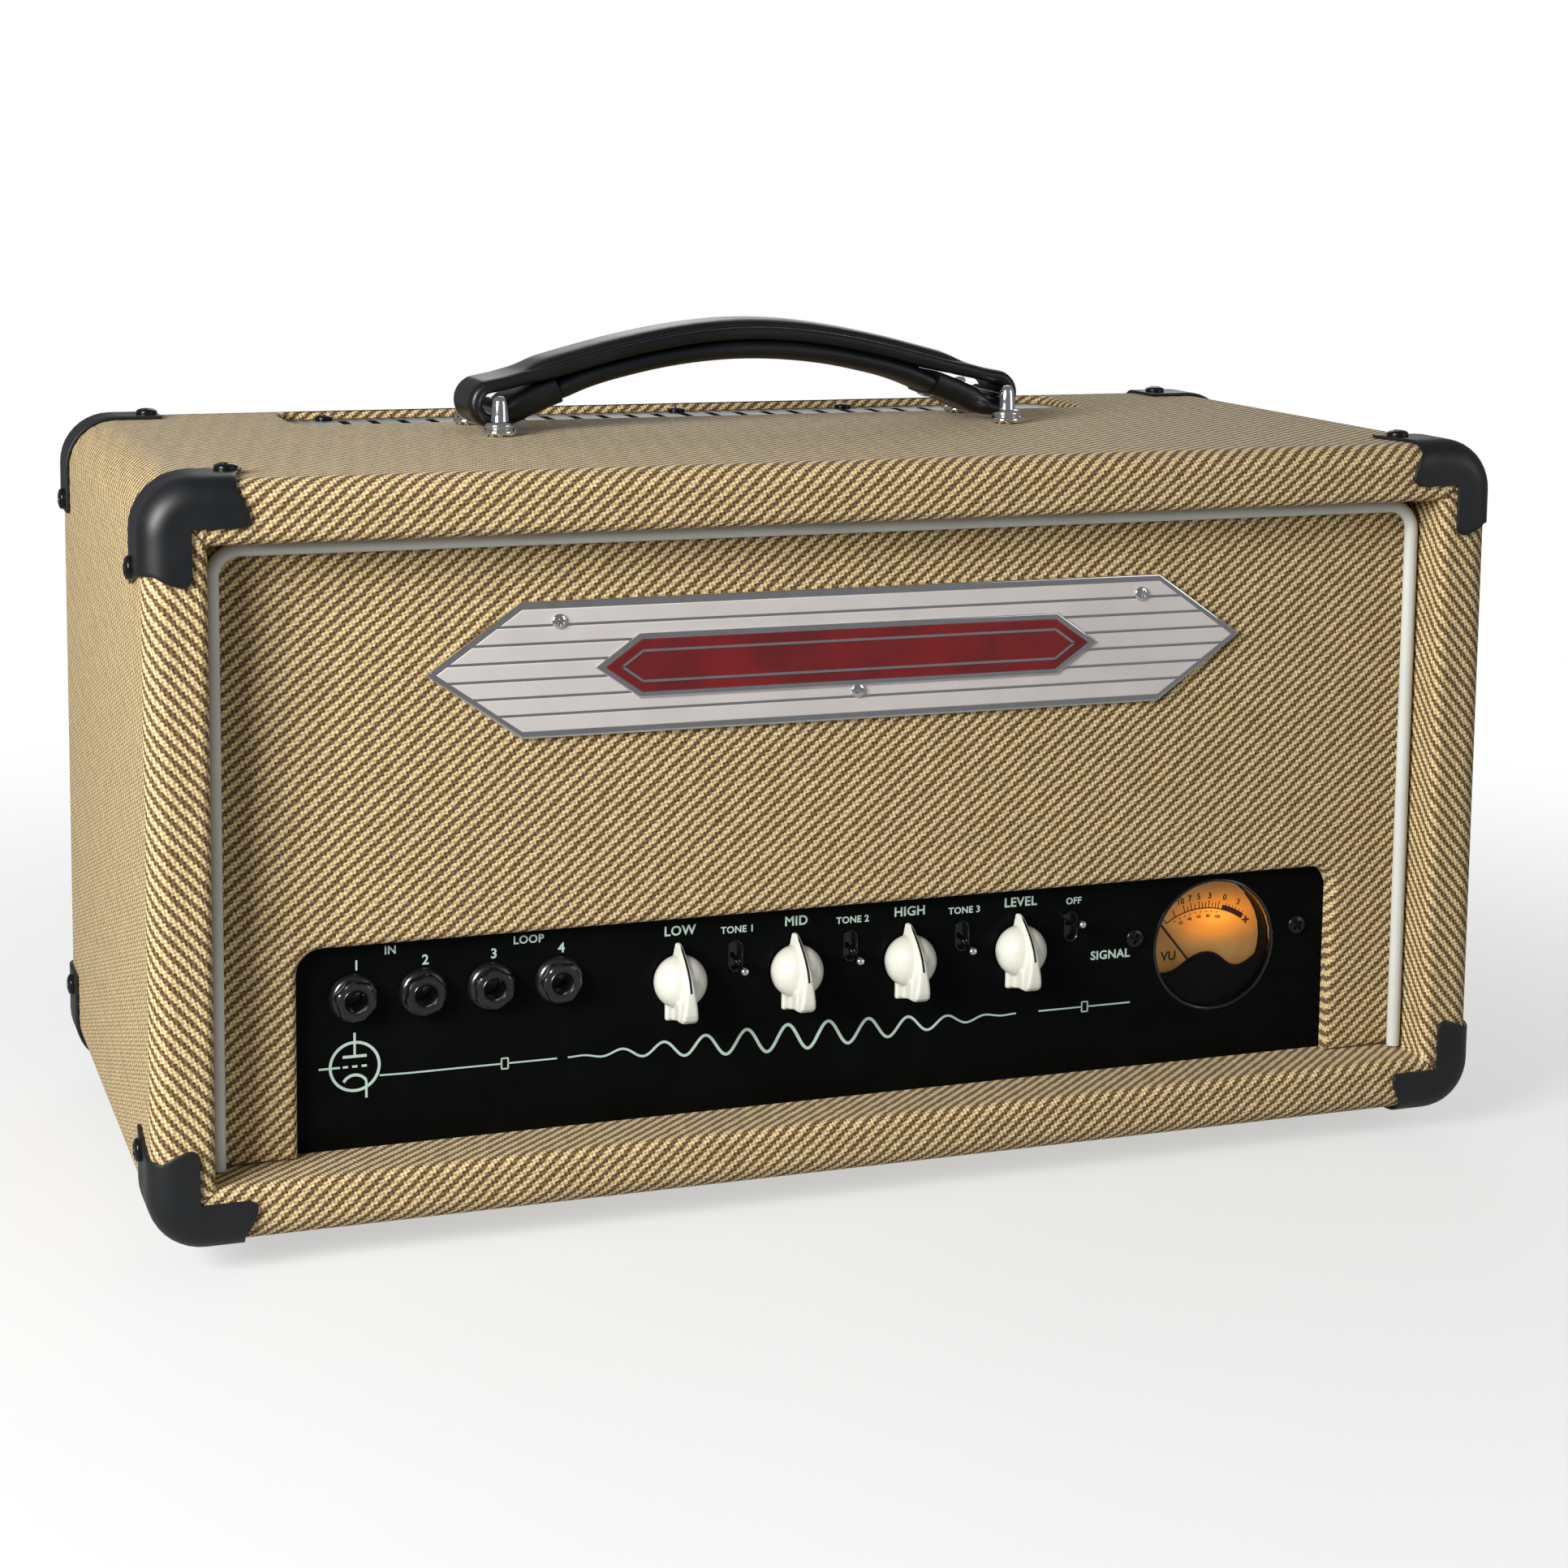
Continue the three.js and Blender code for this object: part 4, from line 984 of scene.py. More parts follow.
# ---------------------------------------------------------------- pointer knobs and toggles
KNOB_NODES = {"bass_knob": "bass_control", "middle_knob": "middle_control", "treble_knob": "treble_control",
              "master_knob": "master_control"}


def knob_solid():
    """Round dome and tall pointer fin, moulded in one, about the shaft with the panel at y = 0."""
    solid = Solid()
    dome = [(0.01, 0.8)]
    for k in range(25):
        out = 0.8 + (13.3 - 0.8) * k / 24
        dome.append((9.7 * math.sqrt(max(0.0, 1 - ((out - 4.3) / 9.0) ** 2)), out))
    solid.add(*lathe(dome + [(0.01, 13.31)], 56))
    stations = ((-12.7, 14.0, 3.3, 2.4), (-12.2, 15.4, 3.65, 2.8), (-10.9, 16.9, 3.75, 2.95),
                (-9.0, 17.6, 3.7, 2.8), (-6.5, 17.8, 3.6, 2.5), (-3.5, 17.6, 3.35, 2.1), (0.0, 17.0, 3.0, 1.65),
                (3.0, 15.7, 2.65, 1.35), (5.8, 13.6, 2.3, 1.15), (8.5, 10.9, 1.9, 1.0), (11.0, 7.7, 1.5, 0.85),
                (12.6, 5.3, 1.2, 0.7), (13.5, 3.7, 0.9, 0.55))
    rings = []
    for z, ridge, base, top in stations:
        r = min(top * 0.7, 1.1)
        ring = [(-base, -0.8, z), (-base + (base - top) * 0.5, -ridge * 0.5, z)]
        for k in range(5):
            a = math.pi / 2 * k / 4
            ring.append((-top + r - r * math.cos(a), -(ridge - r + r * math.sin(a)), z))
        ring += [(-x, y, z) for x, y, z in ring[::-1]]
        rings.append(ring)
    solid.add(*loft(rings))
    # The heel stands on a stepped, flared block.
    rings = []
    for out, wide, heel in ((0.8, 4.9, 14.9), (2.4, 4.8, 14.6), (3.0, 4.25, 14.0), (6.5, 3.9, 13.4),
                            (8.4, 3.4, 12.9), (13.0, 3.3, 12.5)):
        rings.append([(x, -out, z) for x, z in rounded(-wide, wide, -heel, -5, 0.9, 4)])
    solid.add(*loft(rings))
    return solid


def make_knobs():
    moulding = knob_solid().make("knob_moulding", KNOB_CREAM)
    remesh = moulding.modifiers.new("one", "REMESH")
    remesh.mode = "VOXEL"
    remesh.voxel_size = 0.34 * MM
    smooth = moulding.modifiers.new("soften", "SMOOTH")
    smooth.factor, smooth.iterations = 0.5, 3
    apply_modifiers(moulding)
    from_panel = moulding.data
    work = bmesh.new()
    work.from_mesh(from_panel)
    tree = BVHTree.FromBMesh(work)
    work.free()
    rings = []
    for k in range(40):
        z = 13.3 - 14.3 * k / 39
        taper = min(1.0, (k + 1) / 5, (40 - k) / 2)
        half = 0.4 * taper
        ring = []
        for x in (-half, -half / 3, half / 3, half):
            hit = tree.ray_cast(Vector((x * MM, -0.03, z * MM)), Vector((0, 1, 0)))[0]
            ring.append((x, hit.y / MM - 0.07 if hit else -3.0, z))
        ring += [(x, y + 0.45, z) for x, y, z in ring[::-1]]
        rings.append(ring)
    inlay = loft(rings)
    shaft = lathe([(0.01, -14), (3, -14), (3, 1.5), (0.01, 1.5)], 24)
    for node, body in KNOB_NODES.items():
        at = Vector((centre_of(node).x, PANEL_FACE, FLOOR + 70.5))
        mesh = from_panel.copy()
        mesh.transform(Matrix.Translation(at * MM))
        obj = into_scene(f"pointer_{node}", mesh)
        mesh.shade_smooth()
        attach(obj, body)
        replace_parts(obj, node)
        for shape, name, material in ((inlay, "pointer_line", GLOSS_BLACK), (shaft, "shaft", STEEL)):
            Solid().add(*shape, Matrix.Translation(at)).make(f"{name}_{node}", material, body, "knob_cream")
    bpy.data.objects.remove(moulding)


LEVER_NODES = {"mid_shift_lever": ("mid_shift_toggle", 12), "bass_shift_lever": ("bass_shift_toggle", 12),
               "bright_lever": ("bright_toggle", 12), "mute_lever": ("mute_toggle", -12)}


def make_toggles():
    bushes, wells = Solid(), Solid()
    for node, (body, tilt) in LEVER_NODES.items():
        x = centre_of(node).x
        at = Vector((x, PANEL_FACE + 5, FLOOR + 77))
        place = Matrix.Translation(at) @ Matrix.Rotation(math.radians(tilt), 4, "X")
        shaft = [(0.01, -2), (1.2, -1.8), (2.0, -0.7), (2.05, 0.4), (1.7, 1.4), (1.1, 2.4), (0.95, 5),
                 (0.98, 9.6)]
        Solid().add(*lathe(shaft + [(0.01, 9.65)], 28), place).make(
            f"toggle_{node}", DARK_CHROME, body, "lever_chrome")
        bat = [(0.5, 9.0), (0.96, 9.05), (1.04, 9.4), (1.18, 11.2), (1.36, 13.2), (1.48, 14.6)]
        bat += [(1.5 * math.sin(a), 15.4 - 1.52 * math.cos(a)) for a in map(math.radians, range(90, 181, 10))]
        tip = Solid().add(*lathe(bat, 28), place).make(f"toggle_tip_{node}", CHROME, body, "lever_chrome")
        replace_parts(tip, node)
        outer, inner = obround(2.95, 5.95, x, at.z), obround(2.3, 5.25, x, at.z)
        rings = [[(px, PANEL_FACE + back, pz) for px, pz in ring] for ring, back in (
            (inner, 2.2), (inner, -0.3), (offset(inner, -0.2), -0.55), (offset(outer, 0.2), -0.5),
            (outer, -0.2), (outer, -0.01), (offset(outer, 0.4), -0.01), (offset(outer, 0.4), 2.2))]
        bushes.add(*loft(rings + rings[:1], cap=(False, False)))
        well = [obround(3.4, 6.2, x, at.z), obround(3.1, 5.9, x, at.z)]
        rings = [[(px, PANEL_FACE + back, pz) for px, pz in ring] for ring, back in (
            (well[0], 2.5), (well[0], 8.4), (offset(well[0], 2), 8.4), (offset(well[0], 2), 7.9),
            (well[1], 7.9), (well[1], 2.5))]
        wells.add(*loft(rings[:3]))
        wells.add(*loft(rings[3:], cap=(True, False)))
    bushes.make("toggle_bushes", GLOSS_BLACK, slot="panel_black")
    wells.make("toggle_wells", SOCKET_BLACK, slot="panel_black")


# ---------------------------------------------------------------- meter
METER = centre_of("meter_dial")
PIVOT_Z = METER.z - 16.5
SCALE_R = 28.5


def make_meter():
    face = low("meter_dial").y
    dress(dial_glow(METER), "meter_dial")
    dress(COVER_BLACK, "meter_housing")
    dress(LENS, "meter_lens")
    dress(DIAL_BLACK, "meter_needle")
    ink = Solid()
    front, back = face - 0.12, face + 0.02

    def on_scale(degrees, radius):
        a = math.radians(degrees)
        return METER.x + radius * math.sin(a), PIVOT_Z + radius * math.cos(a)

    def sweep(start, end, radius, width):
        steps = 24
        path = [on_scale(start + (end - start) * i / steps, radius) for i in range(steps + 1)]
        return stroke(path, width, front, back)

    def tick(degrees, rises, width):
        return stroke([on_scale(degrees, SCALE_R + rise) for rise in rises], width, front, back)

    ink.add(*sweep(-34, 15.5, SCALE_R, 0.42))
    long_ticks = (-34, -25, -16.3, -10.4, -3.8, 4.4, 12.5)
    for at in long_ticks + (-13.4, -7.2, -1.1, 1.6, 7.2, 9.9):
        tall = 2.9 if at in long_ticks else 2.1
        ink.add(*tick(at, (0, tall / 2, tall), 0.36))
    for at in (18.5, 21, 24, 27, 30, 33):
        ink.add(*tick(at, (1, 1.6, 2.7), 0.3))
    for words, at in (("10", -17.5), ("7", -10.4), ("5", -3.8), ("3", 4.4), ("0", 15.8), ("3", 26.6)):
        x, z = on_scale(at, SCALE_R + 4.7)
        ink.add(*lettering(words, x, z, 2.3, front, 0.1, turn=at * 0.5))
    for i, words in enumerate(("20", "40", "60", "80", "100")):
        at = -22.5 + i * 9
        x, z = on_scale(at, SCALE_R - 3.2)
        ink.add(*lettering(words, x, z, 1.25, front, 0.1, turn=at * 0.5))
    for i in range(9):
        x, z = on_scale(-27 + i * 4.9, SCALE_R - 1.4)
        ink.add(*slab([(x + 0.28 * math.cos(a), z + 0.28 * math.sin(a)) for a in turns(8)], front, back))
    ink.add(*lettering("VU", METER.x - 14.6, METER.z - 5.9, 3.5, front, 0.1))
    x, z = on_scale(39.5, SCALE_R + 0.3)
    ink.add(*lettering("+", x, z, 4.2, front, 0.1))
    ink.make("dial_scale", DIAL_BLACK, slot="meter_dial", sharp=30)
    zone = Solid().add(*sweep(15.5, 35, SCALE_R + 0.75, 2.1))
    zone.make("dial_red_zone", DIAL_RED, slot="meter_dial", sharp=30)
    wave = [(24.2, -3.9), (20.2, -6.4), (17.4, -8.4), (14.9, -9.6), (13.2, -10.0), (11.4, -9.9), (9.6, -9.4),
            (7.9, -8.4), (6.2, -7.1), (4.4, -5.6), (2.3, -4.3), (-0.4, -3.8), (-3.2, -3.9), (-6.1, -4.9),
            (-9.4, -6.7), (-12.3, -8.6), (-15.2, -10.1), (-18, -10.7), (-20.4, -10.5), (-22.2, -10.0)]
    wave = [(METER.x + x, METER.z + z) for x, z in wave]
    start = math.degrees(math.atan2(-10.0, -22.2))
    rim = arc(METER.x, METER.z, 24.35, start, -9.1, 30)
    cover = plate(wave + rim[1:-1], -92.0, -89.6, 0.7, 4, 0.3)
    cover.make("meter_lower_cover", COVER_BLACK, slot="meter_black", sharp=40)
    ring = turned_ring([(24.5, 0.0), (24.6, 0.5), (25.1, 0.62), (25.6, 0.35), (25.7, 0.02)], 96)
    Solid().add(*ring, Matrix.Translation((METER.x, PANEL_FACE, METER.z))).make(
        "meter_bezel", GLOSS_BLACK, slot="meter_black")


# ---------------------------------------------------------------- badge
def make_badge():
    lo, hi = low("badge_plate"), high("badge_plate")
    cz = (lo.z + hi.z) / 2
    half_l, shoulder, half_h = hi.x, 122.0, (hi.z - lo.z) / 2

    def lozenge(length, height, cut):
        return [(-length + cut, -height), (length - cut, -height), (length, 0), (length - cut, height),
                (-length + cut, height), (-length, 0)]

    def shift(points):
        return [(x, cz + z) for x, z in points]

    base = plate(shift(lozenge(half_l, half_h, half_l - shoulder)), lo.y + 0.5, hi.y, 0.7, 4, 0.3)
    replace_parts(base.make("badge_backplate", CHROME, slot="badge_enamel", sharp=30), "badge_plate")
    strips = Solid()
    count, rim = 7, 2.2
    top = half_h - rim

    def half_length(z):
        reach = half_l - rim * math.hypot(half_l - shoulder, half_h) / half_h
        return reach - (half_l - shoulder) * abs(z) / half_h

    for i in range(count):
        z0 = -top + 2 * top * i / count + 0.45
        z1 = -top + 2 * top * (i + 1) / count - 0.45
        levels = (z0, 0, z1) if z0 < 0 < z1 else (z0, z1)
        points = [(-half_length(z0), z0)] + [(half_length(z), z) for z in levels]
        points += [(-half_length(z), z) for z in levels[:0:-1]]
        piece = plate(shift(points), lo.y, lo.y + 0.8, 0.3, 3, 0.2)
        strips.add(piece.verts, piece.faces)
    strips.make("badge_pearl_strips", ENAMEL, slot="badge_enamel", sharp=30)
    frame_piece = plate(shift(lozenge(96, 11.4, 16)), lo.y - 0.9, lo.y + 0.7, 0.5, 4, 0.2)
    frame_piece.make("badge_bar_frame", CHROME, slot="badge_enamel", sharp=30)
    red = plate(shift(lozenge(92.6, 9.4, 13.4)), lo.y - 1.3, lo.y + 0.5, 0.4, 4, 0.2)
    red.make("badge_red_bar", ENAMEL_RED, slot="badge_enamel", sharp=30)
    pin = Solid()
    path = shift(lozenge(86.5, 5.4, 7.6))
    for a, b in zip(path, path[1:] + path[:1]):
        pin.add(*straight_stroke(a, b, 0.9, lo.y - 1.55, lo.y - 1.0))
    pin.make("badge_pinstripe", CHROME, slot="badge_enamel", sharp=30)
    screws = Solid()
    for x, z, spin in ((-109, FLOOR + 204, 15), (114, FLOOR + 204, 40), (2, FLOOR + 173.8, 62)):
        screws.add(*screw_head(2.6, 1.5), facing((0, -1, 0), (x, lo.y + 0.1, z), spin))
    screws.make("badge_screws", CHROME, slot="badge_enamel")


# ---------------------------------------------------------------- handle
HANDLE_Y = centre_of("handle_strap").y
POST_X = centre_of("handle_bracket_right").x
POST_Y = 24.0
BAR_UP = 11.1


def smooth_path(points, steps=8):
    """Catmull-Rom curve through (x, z) points."""
    path = []
    ends = [points[0]] + list(points) + [points[-1]]
    for i in range(1, len(ends) - 2):
        p0, p1, p2, p3 = (Vector(ends[i + k - 1]) for k in range(4))
        for s in range(steps):
            t = s / steps
            path.append(0.5 * (2 * p1 + (p2 - p0) * t + (2 * p0 - 5 * p1 + 4 * p2 - p3) * t * t
                               + (3 * p1 - p0 - 3 * p2 + p3) * t ** 3))
    path.append(Vector(points[-1]))
    return path


def swept(path, section):
    """Loft of (across, up) sections along (x, z) points; section is a function of the path point."""
    rings = []
    for i, p in enumerate(path):
        ahead = (path[min(i + 1, len(path) - 1)] - path[max(i - 1, 0)]).normalized()
        normal = Vector((-ahead.y, ahead.x))
        rings.append([(p.x + normal.x * up, HANDLE_Y + across, ROOF + p.y + normal.y * up)
                      for across, up in section(i, p)])
    return rings


def make_strap():
    loop_r = 6.6
    right = [(0, 37.6), (18, 36.7), (36, 34.2), (54, 30.6), (70, 26.6), (82, 23.4), (91, 20.9), (98, 19.0)]
    loop = [(POST_X + loop_r * math.sin(math.radians(a)), BAR_UP + loop_r * math.cos(math.radians(a)))
            for a in range(14, 200, 17)]
    tail = [(98, 6.4), (92, 9.9), (85.5, 12.7), (78, 15.6)]
    half = right + loop + tail
    path = smooth_path([(-x, z) for x, z in half[::-1]] + half[1:], 6)
    body = ((0, 4.6), (5, 4.5), (8.6, 4.15), (10.8, 3.3), (11.7, 2.1), (12.2, 1.45), (13.4, 1.5), (14.5, 1.05),
            (15, 0.1), (15, -1.6), (14.5, -2.9), (13.2, -3.6), (9, -3.7), (0, -3.7))
    flat = ((0, 2.6), (5, 2.6), (8.6, 2.6), (10.8, 2.6), (11.7, 2.55), (12.2, 2.5), (13.4, 2.2), (14.5, 1.5),
            (15, 0.5), (15, -0.6), (14.5, -1.8), (13.2, -2.5), (9, -2.6), (0, -2.6))

    def section(i, p):
        above = p.y > 16.3 or abs(p.x) < 70
        share = max(0.0, min(1.0, (94 - abs(p.x)) / 14)) if above else 0.0
        share = share * share * (3 - 2 * share)
        fold = 0.0 if above else max(0.0, min(1.0, (103 - abs(p.x)) / 9))
        side = [(y0 + (y1 - y0) * share, (u0 + (u1 - u0) * share) * (1 + 0.85 * fold))
                for (y0, u0), (y1, u1) in zip(flat, body)]
        return side + [(-y, u) for y, u in side[-2:0:-1]]

    solid = Solid().add(*loft(swept(path, section)))
    under = [(-84, 12.4), (-76, 15.9), (-66, 19.9), (-54, 23.3), (-36, 27.1), (-18, 29.4), (0, 30.2)]
    lower = smooth_path(under + [(-x, z) for x, z in under[-2::-1]], 6)

    def roll(i, p):
        end = max(0.0, min(1.0, (84 - abs(p.x)) / 10))
        tall = 3.0 + 1.2 * math.sqrt(end)
        wide = 13.2 + 0.9 * end
        return [(wide * math.copysign(abs(math.cos(a)) ** 0.62, math.cos(a)),
                 tall * math.copysign(abs(math.sin(a)) ** 0.8, math.sin(a))) for a in turns(28)]

    solid.add(*loft(swept(lower, roll)))
    obj = solid.make("handle_strap_leather", LEATHER, "handle", "strap_leather", sharp=55)
    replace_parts(obj, "handle_strap")
    stitches, bands = Solid(), Solid()
    top = smooth_path([(-x, z) for x, z in right[:0:-1]] + right, 10)
    for side in (-1, 1):
        start = None
        for i, p in enumerate(top):
            if abs(p.x) > 86:
                continue
            ahead = (top[min(i + 1, len(top) - 1)] - top[max(i - 1, 0)]).normalized()
            normal = Vector((-ahead.y, ahead.x))
            here = Vector((p.x + normal.x * 1.95, HANDLE_Y + side * 11.95, ROOF + p.y + normal.y * 1.95))
            if start is not None and (here - start).length > 0.1:
                count = max(1, round((here - start).length / 2.6))
                for k in range(count):
                    a, b = start.lerp(here, (k + 0.12) / count), start.lerp(here, (k + 0.82) / count)
                    stitches.add(*tube([a, a.lerp(b, 0.5), b], 0.3, 6))
            start = here
    stitches.make("handle_stitching", STITCH, "handle", "strap_leather")
    for side in (-1, 1):
        ring = []
        for k in range(33):
            a = 2 * math.pi * k / 32
            ring.append(Vector((side * 79.5 + 1.2 * math.sin(a) * side, HANDLE_Y + 14.0 * math.cos(a),
                                ROOF + 13.7 + 4.4 * math.sin(a))))
        bands.add(*tube(ring, 0.22, 6))
    bands.make("handle_binding_thread", GREY_THREAD, "handle", "strap_leather")


def make_handle_posts():
    profile = [(0.01, 0.3), (5.7, 0.3), (6.1, 0.6), (6.25, 1.4), (6.1, 2.3), (5.6, 2.8), (5.1, 2.9), (5.1, 3.2),
               (5.5, 3.5), (5.6, 4.1), (5.3, 4.8), (4.4, 5.3), (3.5, 5.6), (3.3, 6.2), (3.2, 8.5), (2.95, 11.5),
               (2.7, 13.1), (2.2, 14.2), (1.4, 14.85), (0.01, 15.1)]
    for side, hand in ((-1, "left"), (1, "right")):
        solid = Solid()
        for y in (-POST_Y, POST_Y):
            solid.add(*lathe(profile, 40), facing((0, 0, 1), (side * POST_X, HANDLE_Y + y, ROOF)))
        crossbar = [(side * POST_X, HANDLE_Y + y, ROOF + BAR_UP) for y in (-POST_Y, 0, POST_Y)]
        solid.add(*tube(crossbar, 2.1, 20))
        node = f"handle_bracket_{hand}"
        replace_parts(solid.make(f"handle_posts_{hand}", CHROME, slot="lever_chrome", sharp=50), node)


# ---------------------------------------------------------------- vent, back, feet and inside
def make_vent_screws():
    solid = Solid()
    for k in range(5):
        solid.add(*screw_head(3.6, 2.2), facing((0, 0, 1), (75 * (k - 2), VENT[3] - 5, VENT_FLOOR), 17 * k))
    solid.make("vent_screws", BLACK_SCREW, slot="grille_metal")


def make_back():
    guard = high("rear_guard")
    solid = Solid()
    for k in range(5):
        for z in (low("rear_guard").z + 5.5, guard.z - 5.5):
            solid.add(*screw_head(3.6, 2.0), facing((0, 1, 0), (-222 + 111 * k, guard.y, z), 23 * k))
    solid.make("guard_screws", BLACK_SCREW, slot="grille_metal")
    screws = Solid()
    at, face = centre_of("mains_inlet"), high("mains_inlet").y
    for side in (-1, 1):
        screws.add(*screw_head(2.8, 1.4), facing((0, 1, 0), (at.x + side * 20, face - 0.05, at.z), 30))
    screws.make("inlet_screws", CHROME, slot="socket_black")
    sleeves = Solid()
    for k, node in enumerate(("speaker_jack_1", "speaker_jack_2")):
        at = centre_of(node)
        solid = Solid()
        jack(solid, sleeves, (at.x, high("chassis").y, at.z), 1, 18 + 20 * k)
        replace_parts(solid.make(f"socket_{node}", SOCKET_BLACK, slot="socket_black", sharp=28), node)
    sleeves.make("speaker_sleeves", CHROME, slot="socket_black")


def make_feet():
    feet = [f"foot_{end}_{hand}" for end in ("front", "rear") for hand in ("left", "right")]
    profile = [(0.01, 0.3), (17.2, 0.3), (18, 1.2), (17.9, 2.6), (14.6, 11.0), (14.0, 11.7), (13.2, 12.0),
               (8.2, 12.0), (7.6, 11.6), (7.2, 7.2), (0.01, 7.2)]
    for node in feet:
        at = centre_of(node)
        place = facing((0, 0, -1), (at.x, at.y, FLOOR))
        rubber = Solid().add(*lathe(profile, 48), place)
        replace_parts(rubber.make(f"rubber_{node}", RUBBER, slot="foot_rubber", sharp=40), node)
    washers = Solid()
    for node in feet:
        at = centre_of(node)
        washers.add(*lathe([(0.01, 7.0), (6.6, 7.0), (6.8, 7.5), (6.6, 8.0), (0.01, 8.0)], 32),
                    facing((0, 0, -1), (at.x, at.y, FLOOR)))
        washers.add(*screw_head(3.6, 2.0), facing((0, 0, -1), (at.x, at.y, FLOOR - 8.0), at.x))
    washers.make("foot_washers", STEEL, slot="foot_rubber")


def make_valves():
    bases, plates, getters = Solid(), Solid(), Solid()
    kinds = [(f"power_valve_{i}", 80.0) for i in range(1, 5)]
    kinds += [(f"preamp_valve_{i}", 58.0) for i in range(1, 4)]
    for node, tall in kinds:
        at = centre_of(node)
        place = facing((0, 0, 1), (at.x, at.y, low(node).z))
        base = [(0.01, 0.1), (12.4, 0.1), (12.5, 4.4), (12.0, 8.0), (11.2, 9.4), (0.01, 9.4)]
        bases.add(*lathe(base, 36), place)
        outer = [(10.6, 9.5), (10.95, 11), (11, tall - 14), (10.6, tall - 10), (9.4, tall - 6.4),
                 (7.2, tall - 4), (4.4, tall - 2.9), (2.0, tall - 2.2), (1.1, tall - 0.6), (0.2, tall)]
        inner = [(max(r - 0.8, 0.1), out - (0.9 if r < 9 else 0)) for r, out in outer][::-1]
        glass = Solid().add(*lathe(outer + inner, 36), place)
        obj = glass.make(f"glass_{node}", GLASS, slot="valve_glass", sharp=60)
        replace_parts(obj, node)
        for half_x, half_y in ((6.6, 4.2), (3.0, 6.6)):
            outline = rounded(-half_x, half_x, -half_y, half_y, 1.2, 3)
            rings = [[(at.x + x * s, at.y + y * s, low(node).z + z) for x, y in outline]
                     for z, s in ((15, 0.9), (16, 1.0), (tall - 20, 1.0), (tall - 19, 0.9))]
            plates.add(*loft(rings))
        for z in (12.5, tall - 17):
            plates.add(*lathe([(0.01, z), (9.4, z), (9.4, z + 0.6), (0.01, z + 0.6)], 24), place)
        getter = [(4.2, tall - 12.4), (4.7, tall - 11.9), (5.2, tall - 12.4), (4.7, tall - 12.9)]
        getters.add(*turned_ring(getter, 24), place)
    bases.make("valve_sockets", SOCKET_BLACK, slot="socket_black")
    plates.make("valve_anodes", PLATE_GREY, slot="valve_glass")
    getters.make("valve_getters", GETTER, slot="valve_glass")


def dress_frame():
    dress(PANEL_BLACK, "control_panel")
    dress(GRILLE_METAL, "vent_grille", "rear_guard")
    dress(STEEL, "chassis")
    dress(BOARD, "main_board", "control_board")
    dress(LAMINATION, "mains_transformer", "output_transformer")
    dress(SOCKET_BLACK, "mains_inlet", "power_switch_frame", "standby_switch_frame")
    dress(GLOSS_BLACK, "power_rocker", "standby_rocker")


make_panel_print()
make_panel_screws()
make_jacks()
make_knobs()
make_toggles()
make_meter()
make_badge()
make_strap()
make_handle_posts()
make_vent_screws()
make_back()
make_feet()
make_valves()
dress_frame()

# ---------------------------------------------------------------- camera, floor and light
def make_camera():
    """Slightly raised view from the front left; a small shift keeps the uprights close to parallel."""
    yaw, pitch, roll = math.radians(19.363), math.radians(6.813), math.radians(0.527)
    forward = Vector((math.sin(yaw) * math.cos(pitch), math.cos(yaw) * math.cos(pitch), -math.sin(pitch)))
    right = Vector((math.cos(yaw), -math.sin(yaw), 0))
    up = right.cross(forward)
    turned_right = right * math.cos(roll) + up * math.sin(roll)
    turned_up = up * math.cos(roll) - right * math.sin(roll)
    data = bpy.data.cameras.new("camera")
    data.sensor_width = 36
    data.lens = 67.29
    data.shift_x, data.shift_y = 0.0186, -0.1894
    camera = into_scene("camera", data)
    axes = Matrix((turned_right, turned_up, -forward)).transposed().to_4x4()
    camera.matrix_world = Matrix.Translation((-0.3768, -1.0679, 0.3825)) @ axes
    bpy.context.scene.camera = camera


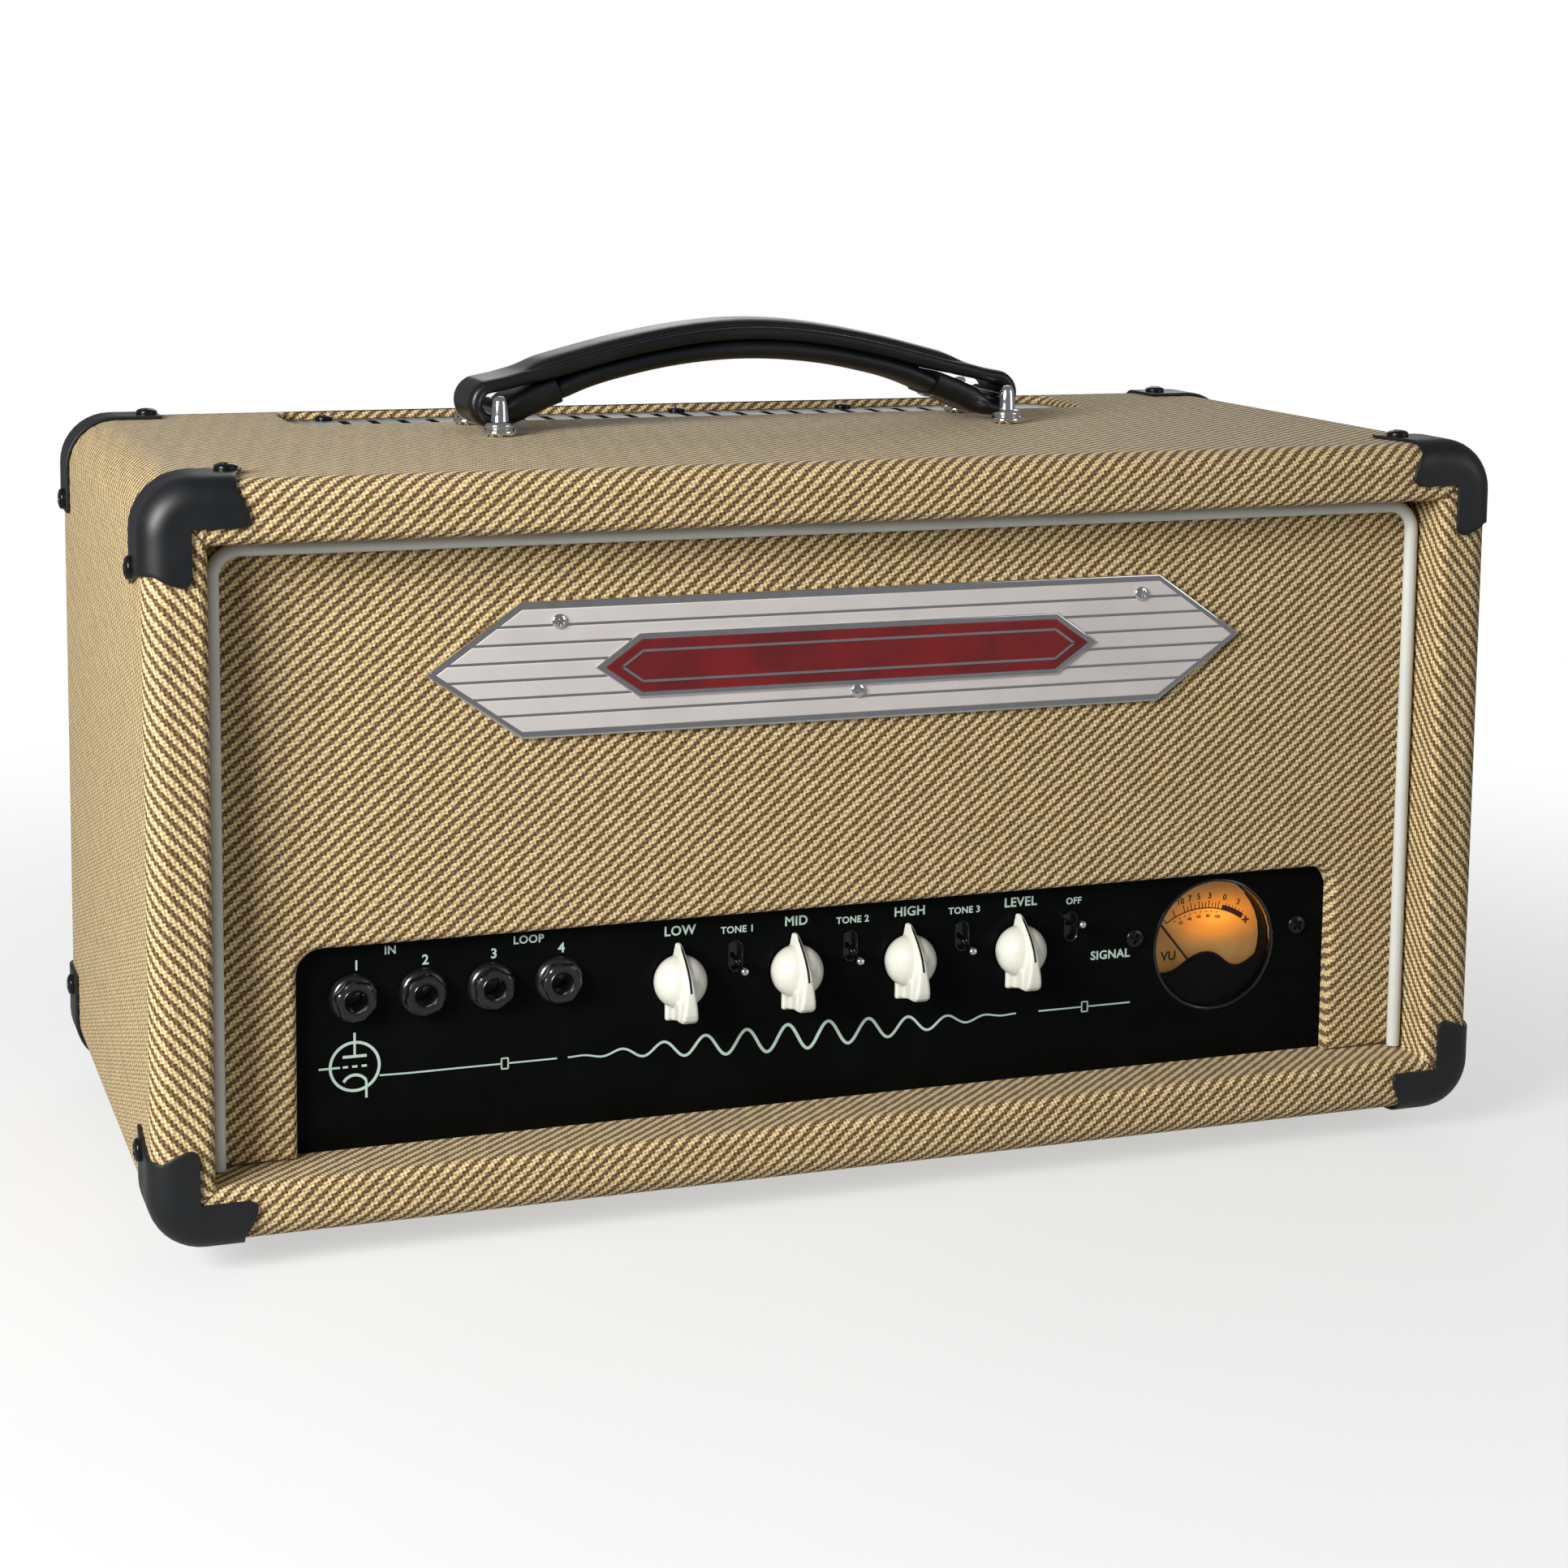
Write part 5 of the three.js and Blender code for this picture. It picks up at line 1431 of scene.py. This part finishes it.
def make_studio():
    """Pale floor that fades into a white room, a soft key from the left, and weak fill."""
    look = Look("studio_floor")
    cloud = look.ramp(look.noise(4, 3.0), 0.3, 0.7)
    look.set(Base_Color=look.mix(cloud, (0.8, 0.8, 0.8), (0.77, 0.77, 0.77)), Roughness=0.9,
             Specular_IOR_Level=0.1)
    reach = look.vector("LENGTH", look.place())
    fade = look.ramp(reach.outputs["Value"], 0.2, 0.85, 0.55, 1.0)
    blend = look.node("ShaderNodeMixShader")
    clear_air = look.node("ShaderNodeBsdfTransparent")
    look.put(blend.inputs[0], fade)
    look.put(blend.inputs[1], look.shader.outputs[0])
    look.put(blend.inputs[2], clear_air.outputs[0])
    look.put(look.output.inputs["Surface"], blend.outputs[0])
    mesh = bpy.data.meshes.new("studio_floor")
    half = 3.0
    corners = [(-half, -half, 0), (half, -half, 0), (half, half, 0), (-half, half, 0)]
    mesh.from_pydata(corners, [], [(0, 1, 2, 3)])
    floor = into_scene("studio_floor", mesh)
    mesh.materials.append(look.material)
    world = bpy.data.worlds.new("studio")
    world.use_nodes = True
    tree = world.node_tree
    ambient = tree.nodes["Background"]
    ambient.inputs["Color"].default_value = (0.96, 0.98, 1.0, 1.0)
    ambient.inputs["Strength"].default_value = 0.2
    seen = tree.nodes.new("ShaderNodeBackground")
    seen.inputs["Color"].default_value = (1.0, 1.0, 1.0, 1.0)
    seen.inputs["Strength"].default_value = 1.0
    path = tree.nodes.new("ShaderNodeLightPath")
    mix = tree.nodes.new("ShaderNodeMixShader")
    tree.links.new(path.outputs["Is Camera Ray"], mix.inputs[0])
    tree.links.new(ambient.outputs[0], mix.inputs[1])
    tree.links.new(seen.outputs[0], mix.inputs[2])
    tree.links.new(mix.outputs[0], tree.nodes["World Output"].inputs["Surface"])
    bpy.context.scene.world = world
    lights = (("key", (-1.2, -0.78, 0.72), 0.6, 31.0), ("fill", (1.4, -1.3, 0.7), 1.0, 4.6),
              ("back", (0.7, 1.8, 1.1), 1.2, 8.0))
    for name, at, size, power in lights:
        data = bpy.data.lights.new(name, "AREA")
        data.size, data.energy = size, power
        light = into_scene(name, data)
        aim = Vector((0, 0, 0.14)) - Vector(at)
        light.matrix_world = Matrix.Translation(at) @ aim.to_track_quat("-Z", "Y").to_matrix().to_4x4()
    bpy.context.scene.view_settings.view_transform = "Standard"


make_camera()
make_studio()
